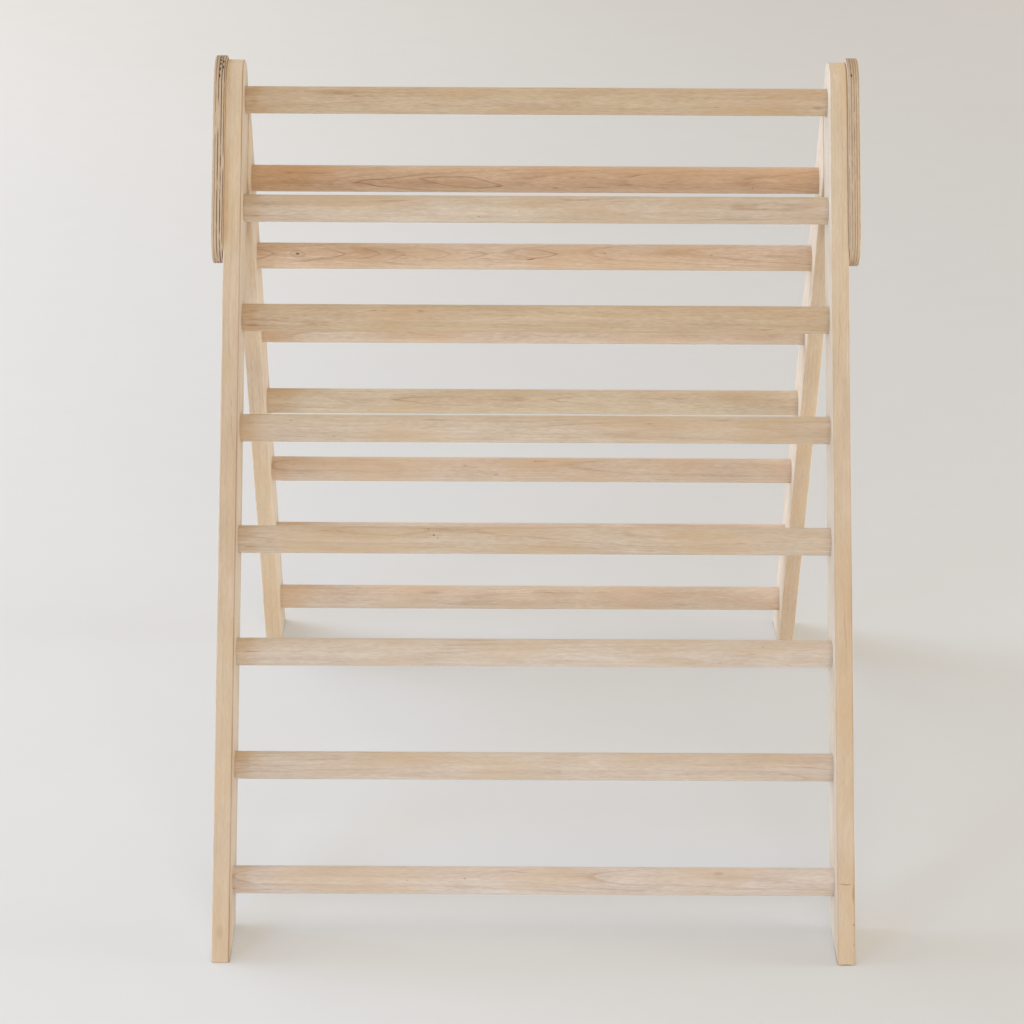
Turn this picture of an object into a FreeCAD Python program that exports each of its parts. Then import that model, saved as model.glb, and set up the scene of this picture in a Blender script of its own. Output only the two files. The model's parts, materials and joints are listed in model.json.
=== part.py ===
import FreeCAD, Part

import os

import Sketcher

# Climbing triangle: two ladders of round rungs between board legs, leaning on each other as an A.
# +Z is up, +X runs along the rungs, +Y points from the front ladder to the rear one.
# The origin lies on the floor, midway between the four feet. The apex is the axis of the top rung.
# The rear ladder turns about its own first rung, between open and flat behind the front ladder.

# Driving dimensions: lengths in millimetres, angles in degrees, counts of rungs.
DIMENSIONS = {
    # Both ladders
    "inner_width": 600.0,
    "leg_thick": 18.0,
    "leg_depth": 75.0,
    "lean_angle": 28.5,
    "leg_roundover": 3.0,
    "foot_reach": 63.9,
    "crown_rise": 3.5,
    "crown_corner_share": 0.48,
    # Rungs and the wood left outside their blind sockets
    "front_rungs": 8,
    "rear_rungs": 7,
    "bolted_rungs": 2,
    "rung_pitch": 114.5,
    "rung_diameter": 28.0,
    "web_thick": 6.0,
    "glue_gap": 0.1,
    # Fold: room between the legs when flat, and gap between the mitred top and the front leg when open
    "fold_gap": 17.7,
    "stop_gap": 0.3,
    "heel_round": 10.0,
    # Plywood side plates
    "plate_thick": 12.0,
    "plate_margin": 4.5,
    "plate_lap": 49.5,
    "plate_corner": 30.0,
    "plate_roundover": 1.5,
    # Plate bolts and pivot bolts
    "bolt_diameter": 8.0,
    "bolt_reach": 18.0,
    "bolt_clearance": 0.2,
    "head_diameter": 18.0,
    "head_height": 4.0,
    "head_sink": 0.5,
    "head_clearance": 0.4,
    "bolt_key": 5.0,
    "bolt_key_depth": 2.5,
    "shoulder_diameter": 10.0,
    "pivot_clearance": 0.05,
    "end_play": 0.1,
    "washer_diameter": 24.0,
    "washer_thick": 1.0,
    # Threaded inserts in the ends of the bolted rungs
    "insert_diameter": 12.0,
    "insert_length": 20.0,
    "bore_bottom_gap": 2.0,
    "thread_gap": 0.05,
    # Countersunk screws in the ends of the other rungs
    "screw_diameter": 5.0,
    "screw_head": 10.0,
    "screw_head_height": 3.5,
    "screw_length": 45.0,
    "screw_tip": 6.0,
    "screw_gap": 0.1,
    "screw_key": 4.0,
    "screw_key_depth": 2.2,
    # Reach of every cut past the faces that it opens
    "overrun": 2.0,
}

LEFT = -1
RIGHT = 1
SIDES = {"left": LEFT, "right": RIGHT}
# Directions of a hexagon's corners from its centre, in degrees
HEXAGON_TURNS = (30, 90, 150, 210, 270, 330)
# Faces whose normals agree better than this meet smoothly.
SMOOTH_COSINE = 0.99

doc = FreeCAD.newDocument("climbing_triangle")
sheet = doc.addObject("Spreadsheet::Sheet", "dims")
sheet.Label = "driving dimensions"
for row, (alias, size) in enumerate(DIMENSIONS.items(), start=1):
    sheet.set(f"A{row}", alias)
    sheet.set(f"B{row}", str(size))
    sheet.setAlias(f"B{row}", alias)
doc.recompute()

# Places that several pieces share, as expressions on the driving dimensions.
HALF_DEPTH = "(dims.leg_depth / 2)"
FLOOR_REACH = "((dims.front_rungs - 1) * dims.rung_pitch + dims.foot_reach)"
APEX_HEIGHT = f"({FLOOR_REACH} * cos(dims.lean_angle))"
FOOT_SLOPE = f"({HALF_DEPTH} * tan(dims.lean_angle))"
CROWN_TOP = f"(dims.crown_rise + {HALF_DEPTH})"
SOCKET_DEPTH = "(dims.leg_thick - dims.web_thick)"
SOCKET_RADIUS = "(dims.rung_diameter / 2 + dims.glue_gap)"
BOLT_HOLE = "(dims.bolt_diameter / 2 + dims.bolt_clearance)"
# The pivot, on the rear leg's centre line, is this far from the apex.
PIVOT_REACH = "((dims.leg_depth + dims.fold_gap) / sin(2 * dims.lean_angle))"
# From the pivot square to the mitred top of the rear leg
HEEL_REACH = f"({HALF_DEPTH} + dims.fold_gap - dims.stop_gap)"
# Outward distances from the middle of the part
FRONT_INNER = "(dims.inner_width / 2)"
FRONT_OUTER = f"({FRONT_INNER} + dims.leg_thick)"
PLATE_OUTER = f"({FRONT_OUTER} + dims.plate_thick)"
REAR_OUTER = f"({FRONT_OUTER} - dims.washer_thick - dims.end_play)"
REAR_INNER = f"({REAR_OUTER} - dims.leg_thick)"
HEAD_SEAT = f"({PLATE_OUTER} - dims.head_sink - dims.head_height)"
# The plate's sides lie this far from the legs' centre lines and meet this far above the apex.
PLATE_CROWN = f"({CROWN_TOP} + dims.plate_margin)"
PLATE_PEAK = f"({PLATE_CROWN} / sin(dims.lean_angle))"
PLATE_DROP = "(dims.rung_pitch * cos(dims.lean_angle) + dims.plate_lap)"

FRONT = {"tilt": -1, "inner": FRONT_INNER, "outer": FRONT_OUTER}
REAR = {"tilt": 1, "inner": REAR_INNER, "outer": REAR_OUTER}


def value(expression):
    """Returns the number that an expression on the driving dimensions gives."""
    result = sheet.evalExpression(expression)
    return float(getattr(result, "Value", result))


def origin_feature(body, role):
    """Returns the origin plane or axis of a body that has the given role."""
    return next(feature for feature in body.Origin.OriginFeatures if feature.Role == role)


def new_body(label, back="0", up=APEX_HEIGHT, tilt=0):
    """Starts a piece at a place in Y and Z, tilted with its foot to the front (-1) or rear (1), or upright."""
    body = doc.addObject("PartDesign::Body", label)
    body.Label = label
    axis = FreeCAD.Vector(tilt, 0, 0) if tilt else FreeCAD.Vector(1, 0, 0)
    turn = FreeCAD.Rotation(axis, value("dims.lean_angle") if tilt else 0)
    body.Placement = FreeCAD.Placement(FreeCAD.Vector(0, value(back), value(up)), turn)
    body.setExpression("Placement.Base.y", back)
    body.setExpression("Placement.Base.z", up)
    if tilt:
        body.setExpression("Placement.Rotation.Angle", "dims.lean_angle")
    return body


def new_sketch(body, name, plane, **offset):
    """Adds a sketch on an origin plane of the body, moved by offset expressions along its own x, y or z."""
    sketch = body.newObject("Sketcher::SketchObject", name)
    sketch.AttachmentSupport = [(origin_feature(body, plane), "")]
    sketch.MapMode = "FlatFace"
    for direction, expression in offset.items():
        sketch.setExpression(f"AttachmentOffset.Base.{direction}", expression)
    return sketch


def draw_outline(sketch, corners):
    """Closes a straight-sided outline through corners, pairs of expressions, and dimensions each corner."""
    places = [FreeCAD.Vector(value(across), value(up), 0) for across, up in corners]
    followers = places[1:] + places[:1]
    for start, end in zip(places, followers):
        sketch.addGeometry(Part.LineSegment(start, end), False)
    last = len(places) - 1
    for index in range(len(places)):
        follower = 0 if index == last else index + 1
        sketch.addConstraint(Sketcher.Constraint("Coincident", index, 2, follower, 1))
    for index, (across, up) in enumerate(corners):
        for kind, expression, axis in (("DistanceX", across, -2), ("DistanceY", up, -1)):
            if expression == "0":
                sketch.addConstraint(Sketcher.Constraint("PointOnObject", index, 1, axis))
            else:
                row = sketch.addConstraint(Sketcher.Constraint(kind, index, 1, value(expression)))
                sketch.setExpression(f"Constraints[{row}]", expression)


def pad_board(body, side, inner, outer, corners):
    """Pads an outline in the YZ plane into a board between two outward distances on one side."""
    near = inner if side == RIGHT else outer
    sketch = new_sketch(body, body.Label + "_outline", "YZ_Plane", z=f"{side} * {near}")
    draw_outline(sketch, corners)
    pad = body.newObject("PartDesign::Pad", body.Label + "_board")
    pad.Profile = sketch
    pad.setExpression("Length", f"{outer} - {inner}")
    doc.recompute()
    return pad


def turn_profile(body, name, kind, corners, **offset):
    """Turns a half profile of (along X, radius) corners about its own X axis, as a solid or as a cut."""
    sketch = new_sketch(body, name + "_profile", "XZ_Plane", **offset)
    draw_outline(sketch, corners)
    turned = body.newObject(f"PartDesign::{kind}", name)
    turned.Profile = sketch
    turned.ReferenceAxis = (sketch, ["H_Axis"])
    doc.recompute()
    return turned


def round_edges(body, base, name, radius, chosen):
    """Rounds the edges of a feature that a test picks, by a radius given as an expression."""
    edges = [f"Edge{index}" for index, edge in enumerate(base.Shape.Edges, start=1) if chosen(edge)]
    fillet = body.newObject("PartDesign::Fillet", name)
    fillet.Base = (base, edges)
    fillet.setExpression("Radius", radius)
    doc.recompute()
    return fillet


def is_square_to_outline(edge):
    """Tells whether an edge runs along X, through the thickness of a board."""
    return edge.BoundBox.XLength > edge.Length / 2


def is_sharp(shape, edge):
    """Tells whether the two faces beside an edge meet at an angle, not smoothly."""
    middle = edge.valueAt((edge.FirstParameter + edge.LastParameter) / 2)
    faces = shape.ancestorsOfType(edge, Part.Face)
    normals = [face.normalAt(*face.Surface.parameter(middle)) for face in faces]
    return abs(normals[0].dot(normals[1])) < SMOOTH_COSINE


def round_over(body, base, radius):
    """Eases every sharp edge of a board."""
    return round_edges(body, base, body.Label + "_roundover", radius, lambda edge: is_sharp(base.Shape, edge))


def repeat_down(body, originals, count):
    """Repeats features down the leg at the rung pitch."""
    pattern = body.newObject("PartDesign::LinearPattern", originals[0].Name + "_row")
    pattern.Originals = originals
    pattern.Direction = (origin_feature(body, "Z_Axis"), [""])
    pattern.Reversed = True
    pattern.setExpression("Length", f"({count} - 1) * dims.rung_pitch")
    pattern.setExpression("Occurrences", count)
    body.Tip = pattern
    doc.recompute()
    return pattern


def key_recess(body, name, side, face, station, flats, depth):
    """Cuts a hexagonal key recess into a head whose face lies at an outward distance."""
    sketch = new_sketch(body, name + "_hexagon", "YZ_Plane", z=f"{side} * {face}", y=f"-{station}")
    reach = f"{flats} / sqrt(3)"
    draw_outline(sketch, [(f"{reach} * cos({turn})", f"{reach} * sin({turn})") for turn in HEXAGON_TURNS])
    recess = body.newObject("PartDesign::Pocket", name)
    recess.Profile = sketch
    recess.Midplane = True
    recess.setExpression("Length", f"2 * {depth}")
    doc.recompute()
    return recess


def outward(side, steps):
    """Turns (outward distance, radius) steps into (along X, radius) corners on one side."""
    return [(f"{side} * {distance}", radius) for distance, radius in steps]


def socket_profile(side, ladder, hole_radius, countersink):
    """Half profile of a rung socket in the inner face and a hole on through the leg, countersunk or plain."""
    inner, outer = ladder["inner"], ladder["outer"]
    before = f"({inner} - dims.overrun)"
    floor = f"({inner} + {SOCKET_DEPTH})"
    beyond = f"({outer} + dims.overrun)"
    rim_radius = countersink[-1][1] if countersink else hole_radius
    steps = [(before, "0"), (before, SOCKET_RADIUS), (floor, SOCKET_RADIUS), (floor, hole_radius)]
    steps += countersink + [(beyond, rim_radius), (beyond, "0")]
    return outward(side, steps)


def bore_leg(body, side, ladder, first_station, bolted, screwed):
    """Bores a leg's blind sockets: the bolted rungs first, then the screwed ones below them."""
    screw_hole = "(dims.screw_diameter / 2 + dims.screw_gap)"
    screw_head = "(dims.screw_head / 2 + dims.screw_gap)"
    countersink = [(f"({ladder['outer']} - dims.screw_head_height)", screw_hole),
                   (ladder["outer"], screw_head)]
    rows = [("bolted", "0", bolted, BOLT_HOLE, []), ("screwed", bolted, screwed, screw_hole, countersink)]
    for name, skipped, count, hole, head in rows:
        station = f"({first_station} + {skipped} * dims.rung_pitch)"
        profile = socket_profile(side, ladder, hole, head)
        socket = turn_profile(body, f"{body.Label}_{name}_socket", "Groove", profile, y=f"-{station}")
        if value(count) > 1:
            repeat_down(body, [socket], count)


def front_leg(name, side):
    """A front leg: round top over the top rung, foot cut level with the floor."""
    body = new_body(name, tilt=FRONT["tilt"])
    corners = [(f"-{HALF_DEPTH}", f"-{FLOOR_REACH} - {FOOT_SLOPE}"),
               (HALF_DEPTH, f"-{FLOOR_REACH} + {FOOT_SLOPE}"),
               (HALF_DEPTH, CROWN_TOP), (f"-{HALF_DEPTH}", CROWN_TOP)]
    board = pad_board(body, side, FRONT["inner"], FRONT["outer"], corners)
    crown = round_edges(body, board, name + "_crown", "dims.crown_corner_share * dims.leg_depth",
                        lambda edge: is_square_to_outline(edge) and edge.CenterOfMass.z > 0)
    round_over(body, crown, "dims.leg_roundover")
    bore_leg(body, side, FRONT, "0", "dims.bolted_rungs", "(dims.front_rungs - dims.bolted_rungs)")
    return body


def rear_leg(name, side):
    """A rear leg: its top is mitred to stop on the front leg's back edge, and cleared to swing past it."""
    body = new_body(name, tilt=REAR["tilt"])
    sine = "sin(2 * dims.lean_angle)"
    cosine = "cos(2 * dims.lean_angle)"
    heel_front = f"min({cosine} * {HEEL_REACH}; {HALF_DEPTH} - dims.leg_roundover)"
    heel_slope = f"{cosine} / {sine}"
    heel_line = f"(-{PIVOT_REACH} + {HEEL_REACH} / {sine})"
    corners = [(f"-{HALF_DEPTH}", f"-{FLOOR_REACH} + {FOOT_SLOPE}"),
               (HALF_DEPTH, f"-{FLOOR_REACH} - {FOOT_SLOPE}"),
               (HALF_DEPTH, f"{heel_line} + {HALF_DEPTH} * {heel_slope}"),
               (f"-{heel_front}", f"{heel_line} - {heel_front} * {heel_slope}"),
               (f"-{HALF_DEPTH}", f"-{PIVOT_REACH} + sqrt({HEEL_REACH} ^ 2 - {HALF_DEPTH} ^ 2)")]
    board = pad_board(body, side, REAR["inner"], REAR["outer"], corners)
    top = board.Shape.BoundBox.ZMax
    heel = round_edges(body, board, name + "_heel", "dims.heel_round",
                       lambda edge: is_square_to_outline(edge) and edge.BoundBox.ZMin > top - edge.Length / 2)
    round_over(body, heel, "dims.leg_roundover")
    bore_leg(body, side, REAR, PIVOT_REACH, "1", "(dims.rear_rungs - 1)")
    return body


def rung(name, ladder, station, bore_radius, bore_depth):
    """A round rung from socket floor to socket floor, bored at both ends for its fastener."""
    back = f"{ladder['tilt']} * {station} * sin(dims.lean_angle)"
    body = new_body(name, back, f"{APEX_HEIGHT} - {station} * cos(dims.lean_angle)")
    end = f"({ladder['inner']} + {SOCKET_DEPTH})"
    floor = f"({end} - {bore_depth})"
    radius = "dims.rung_diameter / 2"
    half = [(end, radius), (end, bore_radius), (floor, bore_radius), (floor, "0")]
    corners = outward(RIGHT, half) + outward(LEFT, reversed(half))
    turn_profile(body, name + "_dowel", "Revolution", corners)
    return body


def side_plate(name, side):
    """A plywood plate outside the legs: a rounded triangle, counterbored for two bolts and the pivot."""
    body = new_body(name)
    base = f"(({PLATE_DROP} + {PLATE_PEAK}) * tan(dims.lean_angle))"
    corners = [("0", PLATE_PEAK), (f"-{base}", f"-{PLATE_DROP}"), (base, f"-{PLATE_DROP}")]
    board = pad_board(body, side, FRONT_OUTER, PLATE_OUTER, corners)
    crown = round_edges(body, board, name + "_crown", PLATE_CROWN,
                        lambda edge: is_square_to_outline(edge) and edge.CenterOfMass.z > 0)
    lower = round_edges(body, crown, name + "_corners", "dims.plate_corner",
                        lambda edge: is_square_to_outline(edge) and is_sharp(crown.Shape, edge))
    round_over(body, lower, "dims.plate_roundover")
    pivot_hole = "(dims.shoulder_diameter / 2 + dims.pivot_clearance)"
    holes = [("bolt_hole_1", FRONT, "0", BOLT_HOLE), ("bolt_hole_2", FRONT, "dims.rung_pitch", BOLT_HOLE),
             ("pivot_hole", REAR, PIVOT_REACH, pivot_hole)]
    recess = "(dims.head_diameter / 2 + dims.head_clearance)"
    before = f"({FRONT_OUTER} - dims.overrun)"
    beyond = f"({PLATE_OUTER} + dims.overrun)"
    for hole_name, ladder, station, radius in holes:
        steps = [(before, "0"), (before, radius), (HEAD_SEAT, radius), (HEAD_SEAT, recess), (beyond, recess),
                 (beyond, "0")]
        turn_profile(body, f"{name}_{hole_name}", "Groove", outward(side, steps),
                     y=f"-{station} * cos(dims.lean_angle)",
                     z=f"-{ladder['tilt']} * {station} * sin(dims.lean_angle)")
    return body


def rung_bolts(name, side, ladder, station, count, shoulder):
    """Flat-headed bolts from the plate through the leg into the rung ends; a pivot bolt has a shoulder."""
    body = new_body(name, tilt=ladder["tilt"])
    thread = "dims.bolt_diameter / 2"
    seat = f"({HEAD_SEAT} + dims.end_play)" if shoulder else HEAD_SEAT
    face = f"({seat} + dims.head_height)"
    end = f"({ladder['inner']} + {SOCKET_DEPTH} - dims.bolt_reach)"
    neck = [(ladder["outer"], "dims.shoulder_diameter / 2"), (ladder["outer"], thread)] if shoulder else []
    shank = "dims.shoulder_diameter / 2" if shoulder else thread
    steps = [(face, "0"), (face, "dims.head_diameter / 2"), (seat, "dims.head_diameter / 2"), (seat, shank)]
    steps += neck + [(end, thread), (end, "0")]
    bolt = turn_profile(body, name + "_bolt", "Revolution", outward(side, steps), y=f"-{station}")
    recess = key_recess(body, name + "_key", side, face, station, "dims.bolt_key", "dims.bolt_key_depth")
    if value(count) > 1:
        repeat_down(body, [bolt, recess], count)
    return body


def rung_inserts(name, side, ladder, station, count):
    """Threaded sleeves flush in the ends of the bolted rungs."""
    body = new_body(name, tilt=ladder["tilt"])
    thread = "(dims.bolt_diameter / 2 + dims.thread_gap)"
    end = f"({ladder['inner']} + {SOCKET_DEPTH})"
    floor = f"({end} - dims.insert_length)"
    rim = "dims.insert_diameter / 2"
    steps = [(end, thread), (end, rim), (floor, rim), (floor, thread)]
    sleeve = turn_profile(body, name + "_sleeve", "Revolution", outward(side, steps), y=f"-{station}")
    if value(count) > 1:
        repeat_down(body, [sleeve], count)
    return body


def pivot_washer(name, side):
    """A thin washer on the rear leg, between it and the plate."""
    body = new_body(name, tilt=REAR["tilt"])
    hole = "(dims.shoulder_diameter / 2 + dims.thread_gap)"
    rim = "dims.washer_diameter / 2"
    face = f"({REAR_OUTER} + dims.washer_thick)"
    steps = [(REAR_OUTER, hole), (REAR_OUTER, rim), (face, rim), (face, hole)]
    turn_profile(body, name + "_disc", "Revolution", outward(side, steps), y=f"-{PIVOT_REACH}")
    return body


def rung_screws(name, side, ladder, station, count):
    """Countersunk screws, flush with the leg's outer face, into the rungs below the bolted ones."""
    body = new_body(name, tilt=ladder["tilt"])
    face = ladder["outer"]
    shank = "dims.screw_diameter / 2"
    steps = [(face, "0"), (face, "dims.screw_head / 2"), (f"({face} - dims.screw_head_height)", shank),
             (f"({face} - dims.screw_length + dims.screw_tip)", shank),
             (f"({face} - dims.screw_length)", "0")]
    screw = turn_profile(body, name + "_screw", "Revolution", outward(side, steps), y=f"-{station}")
    recess = key_recess(body, name + "_key", side, face, station, "dims.screw_key", "dims.screw_key_depth")
    repeat_down(body, [screw, recess], count)
    return body


def build_rungs(prefix, ladder, first_station, count, bolted):
    """All the rungs of one ladder, bored for inserts where bolts hold them and for screws elsewhere."""
    insert_reach = "(dims.insert_length + dims.bore_bottom_gap)"
    insert_bore = ("dims.insert_diameter / 2 + dims.thread_gap", insert_reach)
    screw_reach = "(dims.screw_length - dims.web_thick + dims.bore_bottom_gap)"
    screw_bore = ("dims.screw_diameter / 2 + dims.screw_gap", screw_reach)
    rungs = []
    for index in range(count):
        radius, depth = insert_bore if index < bolted else screw_bore
        station = f"({first_station} + {index} * dims.rung_pitch)"
        rungs.append(rung(f"{prefix}_rung_{index + 1}", ladder, station, radius, depth))
    return rungs


def build_parts():
    """Makes every piece of the climbing triangle."""
    front_count = int(DIMENSIONS["front_rungs"])
    rear_count = int(DIMENSIONS["rear_rungs"])
    bolted_count = int(DIMENSIONS["bolted_rungs"])
    parts = build_rungs("front", FRONT, "0", front_count, bolted_count)
    parts += build_rungs("rear", REAR, PIVOT_REACH, rear_count, 1)
    screwed_station = "(dims.bolted_rungs * dims.rung_pitch)"
    rear_screwed_station = f"({PIVOT_REACH} + dims.rung_pitch)"
    for word, side in SIDES.items():
        parts += [
            front_leg(f"front_{word}_leg", side),
            rear_leg(f"rear_{word}_leg", side),
            side_plate(f"{word}_plate", side),
            rung_bolts(f"{word}_plate_bolts", side, FRONT, "0", "dims.bolted_rungs", False),
            rung_inserts(f"{word}_plate_inserts", side, FRONT, "0", "dims.bolted_rungs"),
            rung_bolts(f"{word}_pivot_bolt", side, REAR, PIVOT_REACH, "1", True),
            rung_inserts(f"{word}_pivot_insert", side, REAR, PIVOT_REACH, "1"),
            pivot_washer(f"{word}_pivot_washer", side),
            rung_screws(f"front_{word}_rung_screws", side, FRONT, screwed_station,
                        "(dims.front_rungs - dims.bolted_rungs)"),
            rung_screws(f"rear_{word}_rung_screws", side, REAR, rear_screwed_station,
                        "(dims.rear_rungs - 1)"),
        ]
    doc.recompute()
    return parts


def check_document(parts):
    """Stops if any object failed or any piece is empty or not valid."""
    failed = [item.Label for item in doc.Objects if "Invalid" in item.State or "Error" in item.State]
    bad = [part.Label for part in parts if not part.Shape.Solids or not part.Shape.isValid()]
    if failed or bad:
        raise RuntimeError(f"failed objects {failed}, bad shapes {bad}")


def write_parts(parts):
    """Writes each piece to its own file and prints what it holds."""
    os.makedirs("parts", exist_ok=True)
    for part in parts:
        part.Shape.exportStep(f"parts/{part.Label}.step")
        print(part.Label, len(part.Shape.Solids), "solids", round(part.Shape.Volume), "mm3")


all_parts = build_parts()
check_document(all_parts)
write_parts(all_parts)
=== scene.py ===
"""Looks of the climbing triangle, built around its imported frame.

Two ladders of round rungs between board legs lean on each other, and a plywood plate closes the top of each
side. Each wooden piece and each visible fastener is a surface worked out with numpy at the place of its CAD
node. Lengths are in metres. +Z is up, +X runs along the rungs and +Y points from front to rear.
"""

import json
import logging
import math
from dataclasses import dataclass
from enum import Enum
from typing import Any

import bmesh
import bpy
import numpy as np
from mathutils import Matrix, Vector
from mathutils.geometry import tessellate_polygon

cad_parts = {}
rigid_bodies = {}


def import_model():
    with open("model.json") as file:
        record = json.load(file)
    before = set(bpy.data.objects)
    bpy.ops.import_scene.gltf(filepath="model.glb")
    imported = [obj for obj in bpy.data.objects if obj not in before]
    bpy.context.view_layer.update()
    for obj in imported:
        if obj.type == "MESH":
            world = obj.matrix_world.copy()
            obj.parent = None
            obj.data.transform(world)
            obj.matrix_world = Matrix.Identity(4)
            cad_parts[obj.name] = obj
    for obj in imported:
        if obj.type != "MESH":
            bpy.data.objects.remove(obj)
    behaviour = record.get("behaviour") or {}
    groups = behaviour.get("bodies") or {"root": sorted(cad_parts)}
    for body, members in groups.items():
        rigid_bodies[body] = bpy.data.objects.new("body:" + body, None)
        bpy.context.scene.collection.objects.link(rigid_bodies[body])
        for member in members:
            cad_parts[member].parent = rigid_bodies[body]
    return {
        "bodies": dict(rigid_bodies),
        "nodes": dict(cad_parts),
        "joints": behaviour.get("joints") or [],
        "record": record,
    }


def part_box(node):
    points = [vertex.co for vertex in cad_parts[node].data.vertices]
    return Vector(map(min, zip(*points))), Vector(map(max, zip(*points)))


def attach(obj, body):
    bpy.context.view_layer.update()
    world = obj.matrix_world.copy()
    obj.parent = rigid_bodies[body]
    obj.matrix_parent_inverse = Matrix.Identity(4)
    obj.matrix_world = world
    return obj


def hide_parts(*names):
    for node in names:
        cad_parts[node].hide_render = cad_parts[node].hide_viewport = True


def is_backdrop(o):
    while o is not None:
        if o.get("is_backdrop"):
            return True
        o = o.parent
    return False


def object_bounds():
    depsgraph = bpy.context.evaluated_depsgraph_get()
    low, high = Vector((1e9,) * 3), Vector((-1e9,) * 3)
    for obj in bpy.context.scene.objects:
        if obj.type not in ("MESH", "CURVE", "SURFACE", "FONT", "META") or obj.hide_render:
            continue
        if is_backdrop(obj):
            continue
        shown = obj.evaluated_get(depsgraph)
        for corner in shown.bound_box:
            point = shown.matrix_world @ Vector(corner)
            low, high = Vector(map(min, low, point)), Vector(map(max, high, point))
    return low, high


Array = np.ndarray
Triple = tuple[float, float, float]
Colour = Triple
Socket = bpy.types.NodeSocket
Ring = tuple[Array | float, float]

IMAGE_SIDE = 1024
MILLIMETRE = 0.001
X_AXIS = (1.0, 0.0, 0.0)
BLACK = (0.0, 0.0, 0.0)
log = logging.getLogger("climbing_triangle")


def linear(red: int, green: int, blue: int) -> Colour:
    """Turns an sRGB colour into linear light: a straight line near black, then a power of 2.4.

    Args:
        red: Red channel, 0 to 255.
        green: Green channel.
        blue: Blue channel.

    Returns:
        The three linear channels, 0 to 1.
    """
    share = np.array([red, green, blue]) / 255
    light = np.where(share <= 0.04045, share / 12.92, ((share + 0.055) / 1.055) ** 2.4)
    return tuple(light.tolist())


class Side(Enum):
    """The two sides of the triangle, with the sign of X on each."""

    LEFT = -1
    RIGHT = 1

    @property
    def word(self) -> str:
        """The side's name as the CAD nodes spell it."""
        return self.name.lower()


# Shader maths


class Value:
    """A number socket whose arithmetic adds Math nodes."""

    def __init__(self, shader: "Shader", socket: Socket) -> None:
        """Keeps the socket and the shader that it belongs to."""
        self.shader = shader
        self.socket = socket

    def math(self, operation: str, *operands: Any) -> "Value":
        """Adds one Math node, with its operands in the node's order, and returns its result."""
        node = self.shader.node("ShaderNodeMath", dict(enumerate(operands)), operation=operation)
        return Value(self.shader, node.outputs[0])

    def __add__(self, other: Any) -> "Value":
        """Returns self + other."""
        return self.math("ADD", self, other)

    __radd__ = __add__

    def __sub__(self, other: Any) -> "Value":
        """Returns self - other."""
        return self.math("SUBTRACT", self, other)

    def __rsub__(self, other: Any) -> "Value":
        """Returns other - self."""
        return self.math("SUBTRACT", other, self)

    def __mul__(self, other: Any) -> "Value":
        """Returns self * other."""
        return self.math("MULTIPLY", self, other)

    __rmul__ = __mul__

    def __truediv__(self, other: Any) -> "Value":
        """Returns self / other."""
        return self.math("DIVIDE", self, other)

    def __pow__(self, exponent: Any) -> "Value":
        """Returns self raised to an exponent."""
        return self.math("POWER", self, exponent)

    def __abs__(self) -> "Value":
        """Returns the value without its sign."""
        return self.math("ABSOLUTE", self)

    def fraction(self) -> "Value":
        """Returns what is left over whole numbers."""
        return self.math("FRACT", self)

    def most(self, other: Any) -> "Value":
        """Returns the larger of self and other."""
        return self.math("MAXIMUM", self, other)

    def above(self, limit: float) -> "Value":
        """Returns 1 where the value is above a limit and 0 elsewhere."""
        return self.math("GREATER_THAN", self, limit)

    def ramp(self, start: float, end: float) -> "Value":
        """Maps the value smoothly to 0 at start and to 1 at end.

        Args:
            start: Value that gives 0.
            end: Value that gives 1.

        Returns:
            The mapped value, kept between 0 and 1.
        """
        sockets = {"Value": self, "From Min": start, "From Max": end}
        node = self.shader.node("ShaderNodeMapRange", sockets, interpolation_type="SMOOTHSTEP")
        return Value(self.shader, node.outputs[0])


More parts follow.
